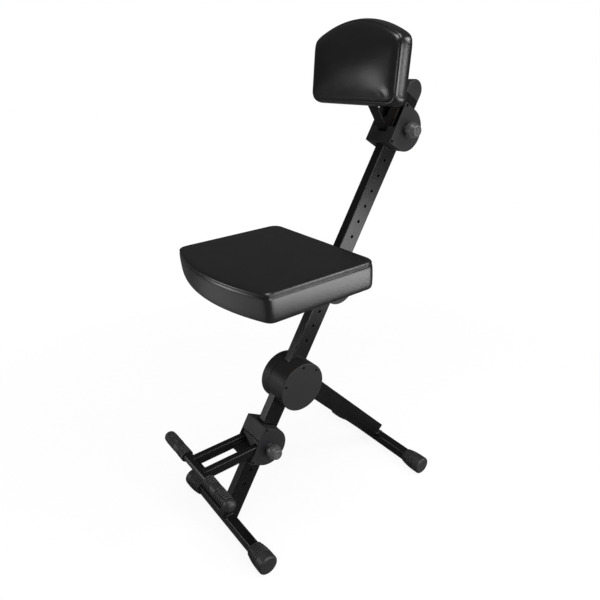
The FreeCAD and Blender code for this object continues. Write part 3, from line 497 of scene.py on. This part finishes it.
@dataclass
class Pad:
    """An upholstered pad, built from rings round its outline and filled by a cloth simulation.

    The pad's own frame has its outline in X and Y and its thickness in Z. Each ring is an inset and a height,
    from the base round the side to the face. Smaller copies of the first and the last ring, by their shares,
    close the base and the face.
    """

    name: str
    node: str
    body: str
    frame: Matrix
    outline: Callable[[float], Ring]
    rings: Sequence[Pair]
    crown: float
    seam: int
    still: int
    shear: float = 0.0
    cloth: Cloth = Cloth()
    base_shares: Sequence[float] = (0.66, 0.33, 0.08)
    face_shares: Sequence[float] = (0.9, 0.78, 0.65, 0.52, 0.39, 0.26, 0.13)
    crown_across: int = 3
    crown_along: int = 2

    def build(self, wardrobe: Wardrobe) -> bpy.types.Object:
        """Args:
            wardrobe: The stool's finishes.

        Returns:
            The finished pad.
        """
        pad = self._shell()
        self._fill(pad)
        self._crown(pad)
        pad.vertex_groups.clear()
        soft = pad.modifiers.new("smooth", "SUBSURF")
        soft.levels = soft.render_levels = 1
        shade_smooth(pad.data)
        wardrobe.dress(pad, Slot.UPHOLSTERY)
        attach(pad, self.body)
        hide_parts(self.node)
        log.info("upholstered %s with %d faces", self.name, len(pad.data.polygons))
        return pad

    def _loops(self) -> List[Ring]:
        """The pad's rings, from near the middle of its base round its side to near the middle of its face."""
        loops = []
        for inset, z in self.rings:
            loops.append([Vector((p.x, p.y - self.shear * z, z)) for p in self.outline(inset)])
        base, face = loops[0], loops[-1]
        for share in self.face_shares:
            loops.append(self._shrunk(face, share))
        for share in self.base_shares:
            loops.insert(0, self._shrunk(base, share))
        return loops

    @staticmethod
    def _shrunk(ring: Ring, share: float) -> Ring:
        """A ring drawn in towards its middle, to a share of its size."""
        middle = sum(ring, Vector()) / len(ring)
        return [middle + (p - middle) * share for p in ring]

    def _shell(self) -> bpy.types.Object:
        """The closed mesh of the rings, capped at both ends, with the points that the cloth is held at."""
        mesh = bmesh.new()
        layers = skin_rings(mesh, [[self.frame @ p for p in ring] for ring in self._loops()])
        count = len(layers[0])
        for ring in (layers[0], layers[-1]):
            pole = mesh.verts.new(sum((v.co for v in ring), Vector()) / count)
            for i in range(count):
                mesh.faces.new((ring[i], ring[(i + 1) % count], pole))
        pad = added(self.name, finished(mesh, self.name))
        before = len(self.base_shares)
        fixed = range(0, (self.still + before) * count)
        sewn = range((self.seam + before) * count, (self.seam + before + 1) * count)
        pad.vertex_groups.new(name="held").add([*fixed, *sewn], 1.0, "ADD")
        return pad

    def _crown(self, pad: bpy.types.Object) -> None:
        """Domes the face inside its outermost ring, so that it rises evenly to its middle.

        Args:
            pad: The filled pad.
        """
        back = self.frame.inverted()
        count = len(self.outline(0.0))
        first = (len(self.rings) + len(self.base_shares)) * count
        points = [back @ v.co for v in pad.data.vertices]
        edge = points[first - count:first]
        low = Vector((min(p.x for p in edge), min(p.y for p in edge), 0))
        high = Vector((max(p.x for p in edge), max(p.y for p in edge), 0))
        middle, reach = (low + high) / 2, (high - low) / 2
        level = sum(p.z for p in edge) / count
        end = first + len(self.face_shares) * count
        face_pole = end + 1
        for index in [*range(first - count, end), face_pole]:
            point = points[index]
            across = min(abs(point.x - middle.x) / reach.x, 1.0)
            along = min(abs(point.y - middle.y) / reach.y, 1.0)
            point.z = level + self.crown * (1 - across ** self.crown_across) * (1 - along ** self.crown_along)
            pad.data.vertices[index].co = self.frame @ point

    def _fill(self, pad: bpy.types.Object) -> None:
        """Blows the cover up over its foam, held at the base and along the seam.

        Args:
            pad: The pad's closed mesh, which takes the filled shape.
        """
        scene = bpy.context.scene
        cloth = pad.modifiers.new("fill", "CLOTH")
        settings = cloth.settings
        settings.quality = self.cloth.quality
        settings.mass = self.cloth.mass
        settings.tension_stiffness = settings.compression_stiffness = self.cloth.stretch
        settings.shear_stiffness = self.cloth.shear
        settings.bending_stiffness = self.cloth.bend
        settings.use_pressure = True
        settings.uniform_pressure_force = self.cloth.pressure
        settings.vertex_group_mass = "held"
        settings.effector_weights.gravity = 0.0
        cloth.collision_settings.use_collision = False
        for step in range(1, self.cloth.steps + 1):
            scene.frame_set(step)
        shown = pad.evaluated_get(bpy.context.evaluated_depsgraph_get())
        filled = [v.co.copy() for v in shown.data.vertices]
        pad.modifiers.remove(cloth)
        scene.frame_set(1)
        for vertex, target in zip(pad.data.vertices, filled):
            move = target - vertex.co
            if move.length > self.cloth.swell:
                move *= self.cloth.swell / move.length
            vertex.co += move


@dataclass(frozen=True)
class Repeat:
    """A small shape that is laid in rows: the node that makes it at unit size, its inputs, and its sizes."""

    kind: str
    inputs: Dict[str, float]
    spacing: float
    radius: float
    length: float


WELD_BEAD = Repeat("GeometryNodeMeshIcoSphere", {"Radius": 1.0, "Subdivisions": 2},
                   spacing=0.0019, radius=0.0019, length=0.0017)
STAPLE = Repeat("GeometryNodeMeshCylinder", {"Vertices": 6, "Radius": 1.0, "Depth": 1.0},
                spacing=0.021, radius=0.0005, length=0.011)


@dataclass
class PathRow:
    """A row of small repeats laid along paths by Geometry Nodes: a weld's ripples or a line of staples."""

    name: str
    body: str
    slot: Slot
    repeat: Repeat
    paths: Sequence[Ring]

    def build(self, wardrobe: Wardrobe) -> bpy.types.Object:
        """Args:
            wardrobe: The stool's finishes.

        Returns:
            The finished row.
        """
        data = bpy.data.meshes.new(self.name + "_path")
        points = [p for path in self.paths for p in path]
        edges, start = [], 0
        for path in self.paths:
            edges += [(start + i, start + i + 1) for i in range(len(path) - 1)]
            start += len(path)
        data.from_pydata(points, edges, [])
        row = added(self.name, data)
        tree = self._tree()
        laid = row.modifiers.new("row", "NODES")
        laid.node_group = tree
        values = {"Spacing": self.repeat.spacing, "Radius": self.repeat.radius, "Length": self.repeat.length,
                  "Material": wardrobe.materials[self.slot]}
        for socket in tree.interface.items_tree:
            if socket.in_out == "INPUT" and socket.name in values:
                laid[socket.identifier] = values[socket.name]
        shown = row.evaluated_get(bpy.context.evaluated_depsgraph_get())
        plain = bpy.data.meshes.new_from_object(shown)
        row.modifiers.clear()
        row.data = plain
        shade_smooth(plain)
        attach(row, self.body)
        log.info("laid %s with %d faces", self.name, len(plain.polygons))
        return row

    def _tree(self) -> bpy.types.NodeTree:
        """The node tree that lays one shape along the paths."""
        tree = bpy.data.node_groups.new(self.name + "_row", "GeometryNodeTree")
        sides = tree.interface
        sides.new_socket("Geometry", in_out="INPUT", socket_type="NodeSocketGeometry")
        for key in ("Spacing", "Radius", "Length"):
            sides.new_socket(key, in_out="INPUT", socket_type="NodeSocketFloat")
        sides.new_socket("Material", in_out="INPUT", socket_type="NodeSocketMaterial")
        sides.new_socket("Geometry", in_out="OUTPUT", socket_type="NodeSocketGeometry")
        kit = NodeKit(tree)
        start, end = kit.add("NodeGroupInput"), kit.add("NodeGroupOutput")
        curve = kit.add("GeometryNodeMeshToCurve")
        kit.join(start.outputs["Geometry"], curve, "Mesh")
        places = kit.add("GeometryNodeCurveToPoints", mode="LENGTH")
        kit.join(curve.outputs[0], places, "Curve")
        kit.join(start.outputs["Spacing"], places, "Length")
        stretch = kit.add("ShaderNodeCombineXYZ")
        for axis, key in (("X", "Radius"), ("Y", "Radius"), ("Z", "Length")):
            kit.join(start.outputs[key], stretch, axis)
        shape = kit.add(self.repeat.kind, **self.repeat.inputs)
        sized = kit.add("GeometryNodeTransform")
        kit.join(shape.outputs["Mesh"], sized, "Geometry")
        kit.join(stretch.outputs[0], sized, "Scale")
        copies = kit.add("GeometryNodeInstanceOnPoints")
        kit.join(places.outputs["Points"], copies, "Points")
        kit.join(places.outputs["Rotation"], copies, "Rotation")
        kit.join(sized.outputs[0], copies, "Instance")
        real = kit.add("GeometryNodeRealizeInstances")
        kit.join(copies.outputs[0], real, "Geometry")
        coat = kit.add("GeometryNodeSetMaterial")
        kit.join(real.outputs[0], coat, "Geometry")
        kit.join(start.outputs["Material"], coat, "Material")
        tree.links.new(coat.outputs[0], end.inputs[0])
        return tree


def arc(centre: Pair, radius: float, start: float, end: float, steps: int) -> Ring:
    """Points of an arc, without its last one.

    Args:
        centre: The arc's centre.
        radius: Its radius.
        start: First angle in degrees.
        end: Last angle in degrees.
        steps: How many points.

    Returns:
        The points at height 0.
    """
    angles = [math.radians(start + (end - start) * i / steps) for i in range(steps)]
    return [Vector((centre[0] + radius * math.cos(t), centre[1] + radius * math.sin(t), 0)) for t in angles]


def run(start: Pair, end: Pair, steps: int) -> Ring:
    """Points of a straight run, without its last one.

    Args:
        start: First point.
        end: The point after the last one.
        steps: How many points.

    Returns:
        The points at height 0.
    """
    a, b = Vector((*start, 0)), Vector((*end, 0))
    return [a.lerp(b, i / steps) for i in range(steps)]


def corner_curve(start: Pair, end: Pair, leave: Pair, steps: int, slope: float) -> Ring:
    """Points of a soft corner between two runs, its end included.

    Args:
        start: The corner's first point.
        end: Its last point.
        leave: The direction at its first point.
        steps: How many points.
        slope: The angle of the next run in degrees.

    Returns:
        The points at height 0.
    """
    a, b = Vector((*start, 0)), Vector((*end, 0))
    reach = (b - a).length * CORNER_REACH
    out = Vector((math.cos(math.radians(slope)), math.sin(math.radians(slope)), 0))
    p, q = a + Vector((*leave, 0)) * reach, b - out * reach
    points: Ring = []
    for i in range(steps + 1):
        t = i / steps
        u = 1 - t
        points.append(a * u ** 3 + p * 3 * u * u * t + q * 3 * u * t * t + b * t ** 3)
    return points


def other_side(ring: Ring) -> Ring:
    """The same points across X = 0, in reverse order."""
    return [Vector((-p.x, p.y, 0)) for p in reversed(ring)]


def opened(ring: Ring, gap: Callable[[Vector], bool]) -> Ring:
    """A closed ring as an open run that starts and ends at a gap.

    Args:
        ring: The ring's points.
        gap: Says whether a point lies in the gap.

    Returns:
        The points outside the gap, in order from its far side round to its near side.
    """
    after = max(i for i, p in enumerate(ring) if gap(p)) + 1
    return [p for p in ring[after:] + ring[:after] if not gap(p)]


@dataclass(frozen=True)
class Bow:
    """A bowed edge: a parabola over X that rises from a base line, most in its middle."""

    base: float
    rise: float
    half: float

    def at(self, x: float) -> float:
        """The bow's Y at an X."""
        return self.base + self.rise * (1 - (x / self.half) ** 2)

    def slope(self, x: float) -> float:
        """The bow's steepness at an X, as an angle in degrees."""
        return math.degrees(math.atan(2 * self.rise * x / (self.half * self.half)))

    def points(self, start: float, steps: int) -> Ring:
        """Points of the bow from one X to the same X on the other side, without its two ends.

        Args:
            start: The first end's X.
            steps: How many steps the bow is cut into.

        Returns:
            The points at height 0.
        """
        places = [start - 2 * start * i / steps for i in range(1, steps)]
        return [Vector((x, self.at(x), 0)) for x in places]


@dataclass
class SeatPlan:
    """The seat's plan: straight back and sides, bowed front and round corners, with Y = 0 at its back edge.

    An inset eases each corner's radius by a fraction of it, one part in so many.
    """

    half: float = 0.1835
    depth: float = 0.321
    bulge: float = 0.037
    back_round: float = 0.024
    back_ease: int = 3
    front_round: float = 0.020
    front_ease: int = 4
    least_round: float = 0.004
    corner_steps: int = 14
    back_steps: int = 26
    side_steps: int = 22
    front_steps: int = 30

    def outline(self, inset: float) -> Ring:
        """The plan's outline, drawn in by an inset, anticlockwise from the back right corner.

        Args:
            inset: How far the outline is drawn in.

        Returns:
            Points of the outline at height 0.
        """
        half = self.half - inset
        back, front = -inset, -self.depth + inset
        corner = -(self.depth - self.bulge) + inset
        near = max(self.back_round - inset / self.back_ease, self.least_round)
        far = max(self.front_round - inset / self.front_ease, self.least_round)
        bow = Bow(corner, front - corner, half)
        edge = half - far
        leaving = bow.slope(edge)
        turn = corner_curve((-half, corner + far), (-edge, bow.at(edge)), (0, -1), self.corner_steps, leaving)
        points = arc((half - near, back - near), near, 0, 90, self.corner_steps)
        points += run((half - near, back), (-half + near, back), self.back_steps)
        points += arc((-half + near, back - near), near, 90, 180, self.corner_steps)
        points += run((-half, back - near), (-half, corner + far), self.side_steps)
        points += turn
        points += bow.points(-edge, self.front_steps)
        points += other_side(turn)
        points += run((half, corner + far), (half, back - near), self.side_steps)
        return points


@dataclass
class PadPlan:
    """The backrest pad's face: straight base and sides, arched top and round corners, with Y = 0 at its base.

    An inset eases each corner's radius and the sides' height by a fraction of it, one part in so many.
    """

    half: float = 0.1380
    side: float = 0.133
    side_ease: int = 2
    height: float = 0.1712
    low_round: float = 0.021
    high_round: float = 0.028
    round_ease: int = 4
    least_round: float = 0.004
    corner_steps: int = 12
    base_steps: int = 26
    side_steps: int = 12
    top_steps: int = 30

    def outline(self, inset: float) -> Ring:
        """The face's outline, drawn in by an inset, anticlockwise from the base's left end.

        Args:
            inset: How far the outline is drawn in.

        Returns:
            Points of the outline at depth 0.
        """
        half, low = self.half - inset, inset
        side, top = self.side - inset / self.side_ease, self.height - inset
        near = max(self.low_round - inset / self.round_ease, self.least_round)
        far = max(self.high_round - inset / self.round_ease, self.least_round)
        bow = Bow(side, top - side, half)
        edge = half - far
        leaving = 180 - bow.slope(edge)
        turn = corner_curve((half, side - far), (edge, bow.at(edge)), (0, 1), self.corner_steps, leaving)
        points = run((-half + near, low), (half - near, low), self.base_steps)
        points += arc((half - near, low + near), near, -90, 0, self.corner_steps)
        points += run((half, low + near), (half, side - far), self.side_steps)
        points += turn
        points += bow.points(edge, self.top_steps)
        points += other_side(turn)
        points += run((-half, side - far), (-half, low + near), self.side_steps)[1:]
        points += arc((-half + near, low + near), near, 180, 270, self.corner_steps)
        return points


@dataclass
class Staples:
    """The line of staples that holds a pad's cover on its board, open where the bracket passes."""

    body: str
    frame: Matrix
    line: Ring
    drop: float

    def build(self, wardrobe: Wardrobe) -> bpy.types.Object:
        """Lays the staples.

        Args:
            wardrobe: The stool's finishes.

        Returns:
            The finished row.
        """
        path = [self.frame @ (p - Vector((0, 0, self.drop))) for p in self.line]
        return PathRow(self.body + "_staples", self.body, Slot.STEEL, STAPLE, [path]).build(wardrobe)


@dataclass
class Seat:
    """The seat's cushion and the staples under it."""

    place: Vector = field(default_factory=lambda: Vector((0, 0.04845, 0.640477)))
    tilt: float = 1.5
    plan: SeatPlan = field(default_factory=SeatPlan)
    rings: Sequence[Pair] = (
        (0.0340, 0.0030), (0.0330, -0.0002), (0.0300, -0.0008), (0.0180, -0.0008), (0.0090, -0.0006),
        (0.0050, 0.0004), (0.0030, 0.0022), (0.0020, 0.0060), (0.0014, 0.0120), (0.0010, 0.0210),
        (0.0008, 0.0310), (0.0008, 0.0400), (0.0010, 0.0490), (0.0014, 0.0546), (0.0036, 0.0562),
        (0.0018, 0.0578), (0.0020, 0.0600), (0.0034, 0.0624), (0.0060, 0.0645), (0.0098, 0.0658),
        (0.0160, 0.0666), (0.0280, 0.0671))
    seam: int = 14
    still: int = 5
    shear: float = 0.055
    crown: float = 0.0018
    staple_inset: float = 0.026
    staple_drop: float = 0.0010
    bracket_half: float = 0.046
    bracket_end: float = -0.08

    def build(self, wardrobe: Wardrobe) -> None:
        """Builds the cushion and its staples."""
        frame = Matrix.Translation(self.place) @ Matrix.Rotation(math.radians(self.tilt), 4, "X")
        Pad("seat_upholstery", "seat_cushion", "seat", frame, self.plan.outline, self.rings, self.crown,
            seam=self.seam, still=self.still, shear=self.shear).build(wardrobe)
        line = opened(self.plan.outline(self.staple_inset), self._at_bracket)
        Staples("seat", frame, line, self.staple_drop).build(wardrobe)

    def _at_bracket(self, point: Vector) -> bool:
        """Whether a point of the plan lies over the bracket's arms."""
        return abs(point.x) < self.bracket_half and point.y > self.bracket_end


@dataclass
class Backrest:
    """The backrest's pad and the staples behind it."""

    place: Vector = field(default_factory=lambda: Vector((0, 0.14895, 0.999487)))
    lean: float = 4.0
    plan: PadPlan = field(default_factory=PadPlan)
    rings: Sequence[Pair] = (
        (0.0300, 0.0030), (0.0290, -0.0002), (0.0260, -0.0006), (0.0140, -0.0006), (0.0060, -0.0002),
        (0.0025, 0.0018), (0.0006, 0.0060), (0.0000, 0.0115), (0.0006, 0.0175), (0.0018, 0.0232),
        (0.0034, 0.0280), (0.0052, 0.0316), (0.0068, 0.0330), (0.0080, 0.0321), (0.0088, 0.0340),
        (0.0110, 0.0364), (0.0152, 0.0388), (0.0214, 0.0410), (0.0310, 0.0430))
    seam: int = 13
    still: int = 4
    crown: float = 0.0064
    staple_inset: float = 0.022
    staple_drop: float = 0.0008
    strip_half: float = 0.024
    strip_end: float = 0.06

    def build(self, wardrobe: Wardrobe) -> None:
        """Builds the pad and its staples."""
        upright = Matrix.Rotation(math.radians(90), 4, "X")
        leaning = Matrix.Rotation(math.radians(-self.lean), 4, "X")
        frame = Matrix.Translation(self.place) @ leaning @ upright
        Pad("backrest_upholstery", "backrest_pad", "backrest", frame, self.plan.outline, self.rings,
            self.crown, seam=self.seam, still=self.still).build(wardrobe)
        line = opened(self.plan.outline(self.staple_inset), self._at_strip)
        Staples("backrest", frame, line, self.staple_drop).build(wardrobe)

    def _at_strip(self, point: Vector) -> bool:
        """Whether a point of the face lies over the bracket's strip."""
        return abs(point.x) < self.strip_half and point.y < self.strip_end


@dataclass
class LockSpring:
    """A lock's coil spring, which shortens against its bushing as the knob is drawn."""

    carriage: str
    shortens: float
    wire: float = 0.0016
    curls: float = 4.5
    steps: int = 24
    sides: int = 8

    def build(self, wardrobe: Wardrobe) -> bpy.types.Object:
        """Args:
            wardrobe: The stool's finishes.

        Returns:
            The finished spring.
        """
        node = self.carriage + "_lock_spring"
        name = self.carriage + "_lock_coil"
        low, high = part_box(node)
        mesh = bmesh.new()
        layers = skin_rings(mesh, self._rings(low, high))
        for end in (layers[0], layers[-1]):
            mesh.faces.new(end)
        spring = added(name, finished(mesh, name))
        shade_smooth(spring.data)
        wardrobe.dress(spring, Slot.STEEL)
        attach(spring, self.carriage)
        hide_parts(node)
        if self.shortens:
            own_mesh(spring)
        log.info("wound %s", name)
        return spring

    def _rings(self, low: Vector, high: Vector) -> List[Ring]:
        """The wire's cross-sections along its helix.

        Args:
            low: The lowest corner of the spring's box.
            high: Its highest corner.

        Returns:
            One ring of points at each step.
        """
        middle = (low + high) / 2
        thin = self.wire / 2
        radius = (high.y - low.y) / 2 - thin
        count = int(self.curls * self.steps)
        rise = (high.x - low.x - 2 * thin) / count
        along = Vector((1, 0, 0))
        angles = [2 * math.pi * i / self.sides for i in range(self.sides)]
        rings = []
        for step in range(count + 1):
            turn = 2 * math.pi * step / self.steps
            out = Vector((0, math.cos(turn), math.sin(turn)))
            spot = Vector((low.x + thin + rise * step, middle.y, middle.z)) + radius * out
            rings.append([spot + thin * (math.cos(a) * out + math.sin(a) * along) for a in angles])
        return rings


@dataclass
class Frame:
    """The weld beads where the mast and the rear leg stand on their crossbars."""

    mast_side: float = 0.0127
    leg_side: float = 0.0123
    front_bar: Pair = (-0.26105, 0.0244)
    rear_bar: Pair = (0.27995, 0.0244)
    bar_half: Pair = (0.013, 0.015)

    def build(self, wardrobe: Wardrobe) -> None:
        """Lays the beads."""
        front = [self._seam(x, self.front_bar, 1) for x in (-self.mast_side, self.mast_side)]
        rear = [self._seam(x, self.rear_bar, -1) for x in (-self.leg_side, self.leg_side)]
        for name, body, paths in (("mast_welds", "mast", front), ("rear_leg_welds", "rear_leg", rear)):
            PathRow(name, body, Slot.FRAME, WELD_BEAD, paths).build(wardrobe)

    def _seam(self, x: float, bar: Pair, way: int) -> Ring:
        """One bead's path over a crossbar's top and down its inner side.

        Args:
            x: The tube's side.
            bar: The crossbar's centre in Y and Z.
            way: 1 if the tube lies behind the bar, -1 if before it.

        Returns:
            The path's points.
        """
        half_y, half_z = self.bar_half
        return [Vector((x, bar[0] + way * a * half_y, bar[1] + b * half_z)) for a, b in WELD_PROFILE]


@dataclass(frozen=True)
class Softbox:
    """A rectangular soft light: its place, the point that it faces, its sides and its power in watts."""

    name: str
    place: Point
    aim: Point
    width: float
    height: float
    power: float

    def build(self) -> None:
        """Adds the light, unseen by the camera."""
        data = bpy.data.lights.new(self.name, "AREA")
        data.shape = "RECTANGLE"
        data.size, data.size_y, data.energy = self.width, self.height, self.power
        light = added(self.name, data)
        light.visible_camera = False
        light.location = self.place
        light.rotation_euler = facing(Vector(self.place), Vector(self.aim))


SOFTBOXES = (
    Softbox("right_softbox", (1.35, 0.75, 0.24), (0, 0, 0.6), width=1.2, height=0.48, power=11.5),
    Softbox("band_softbox", (1.5, 0.72, 1.12), (0, 0, 1.08), width=0.6, height=0.3, power=4.2),
    Softbox("front_left_softbox", (-0.95, -1.72, 0.76), (0, 0, 0.7), width=0.7, height=0.6, power=8.0),
    Softbox("front_right_softbox", (2.0, -0.2, 1.0), (0, 0, 0.8), width=0.6, height=1.0, power=18.0),
    Softbox("back_right_softbox", (1.3, 1.1, 1.9), (0, 0, 0.4), width=0.6, height=0.6, power=14.0),
    Softbox("top_softbox", (0.5, -0.5, 3.0), (0, 0, 0.5), width=1.4, height=1.4, power=40.0),
)


@dataclass
class Studio:
    """The white studio: floor, soft lights and the camera at the photograph's viewing angle.

    The floor keeps a soft shadow near the stool and fades to white. In reflections it shows a painted pool of
    light, an emission that glows round a point before the stool, and the surround goes from dim walls to a
    brighter ceiling.
    """

    eye: Vector = field(default_factory=lambda: Vector((0.8983, -0.72135, 1.0625)))
    target: Vector = field(default_factory=lambda: Vector((0.0, -0.01745, 0.5546)))
    lens: float = 30.954
    sensor: float = 36.0
    shift: Pair = (-0.003, 0.007)
    floor_half: float = 14.0
    floor_grey: float = 0.9
    pool: Pair = (0.7, 1.5)
    pool_white: Pair = (0.9, 1.0)
    # A painted pool of light on the floor, seen only in reflections: its centre, the span over which it
    # fades, and its glow at both ends of that span.
    painted_glow_centre: Point = (-0.8, -1.6, 0.0)
    painted_glow_span: Pair = (0.5, 1.25)
    painted_glow_levels: Pair = (0.85, 0.10)
    fill: float = 0.36
    wall_span: Pair = (0.05, 0.6)
    wall_gloss: Pair = (0.04, 0.10)

    def build(self) -> None:
        """Builds the studio."""
        bpy.context.scene.view_settings.view_transform = "Standard"
        self._camera()
        self._floor()
        self._world()
        for softbox in SOFTBOXES:
            softbox.build()

    def _camera(self) -> None:
        """The camera, set as the scene's own."""
        data = bpy.data.cameras.new("photo_camera")
        data.lens = self.lens
        data.sensor_width = self.sensor
        data.shift_x, data.shift_y = self.shift
        camera = added("photo_camera", data)
        camera.location = self.eye
        camera.rotation_euler = facing(self.eye, self.target)
        bpy.context.scene.camera = camera

    def _floor(self) -> None:
        """A wide pale floor that keeps a soft shadow, with a painted pool of light that only reflections see.
        """
        half = self.floor_half
        corners = [(-half, -half, 0), (half, -half, 0), (half, half, 0), (-half, half, 0)]
        data = bpy.data.meshes.new("studio_floor")
        data.from_pydata(corners, [], [(0, 1, 2, 3)])
        floor = added("studio_floor", data)
        made = bpy.data.materials.new("studio_floor")
        made.use_nodes = True
        made.node_tree.nodes.clear()
        kit = NodeKit(made.node_tree)
        rays = kit.add("ShaderNodeLightPath")
        place = kit.add("ShaderNodeTexCoord").outputs["Object"]
        apart = kit.add("ShaderNodeVectorMath", operation="LENGTH")
        kit.feed(apart.inputs[0], place)
        fade = kit.ramp(apart.outputs["Value"], self.pool, self.pool_white)
        # Painted light: an emission pool round a point before the stool, seen only by glossy and clear rays,
        # where it lights reflections on the stool.
        offset = kit.add("ShaderNodeVectorMath", operation="DISTANCE")
        kit.feed(offset.inputs[0], place)
        offset.inputs[1].default_value = self.painted_glow_centre
        glow = kit.ramp(offset.outputs["Value"], self.painted_glow_span, self.painted_glow_levels)
        grey = self.floor_grey
        matt = kit.add("ShaderNodeBsdfDiffuse", Color=(grey, grey, grey, 1.0))
        bright = kit.add("ShaderNodeEmission", Color=WHITE, Strength=1.0)
        shine = kit.add("ShaderNodeEmission", Color=WHITE)
        kit.join(glow, shine, "Strength")
        shown = kit.mix_shader(kit.math("MULTIPLY", rays.outputs["Is Camera Ray"], fade), matt, bright)
        mix = kit.mix_shader(kit.mirrored(rays), shown, shine)
        kit.join(mix.outputs[0], kit.add("ShaderNodeOutputMaterial"), "Surface")
        data.materials.append(made)

    def _world(self) -> None:
        """A white surround for the camera, and a dim one for lighting."""
        world = bpy.data.worlds.new("studio_world")
        bpy.context.scene.world = world
        world.use_nodes = True
        world.node_tree.nodes.clear()
        kit = NodeKit(world.node_tree)
        rays = kit.add("ShaderNodeLightPath")
        way = kit.add("ShaderNodeSeparateXYZ")
        kit.feed(way.inputs[0], kit.add("ShaderNodeTexCoord").outputs["Generated"])
        fill = kit.add("ShaderNodeBackground", Color=WHITE, Strength=self.fill)
        walls = kit.add("ShaderNodeBackground", Color=WHITE)
        kit.join(kit.ramp(way.outputs["Z"], self.wall_span, self.wall_gloss), walls, "Strength")
        white = kit.add("ShaderNodeBackground", Color=WHITE, Strength=1.0)
        shown = kit.mix_shader(kit.mirrored(rays), fill, walls)
        mix = kit.mix_shader(rays.outputs["Is Camera Ray"], shown, white)
        kit.join(mix.outputs[0], kit.add("ShaderNodeOutputWorld"), "Surface")


def main() -> None:
    """Builds the stool's looks in order."""
    logging.basicConfig(level=logging.INFO, format="%(message)s")
    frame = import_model()
    wardrobe = Wardrobe()
    wardrobe.dress_model(frame)
    Seat().build(wardrobe)
    Backrest().build(wardrobe)
    Frame().build(wardrobe)
    for carriage, shortens in (("footrest", 0.0), ("seat", KNOB_PULL), ("backrest", KNOB_PULL)):
        LockSpring(carriage, shortens).build(wardrobe)
    Studio().build()


if __name__ == "__main__":
    main()
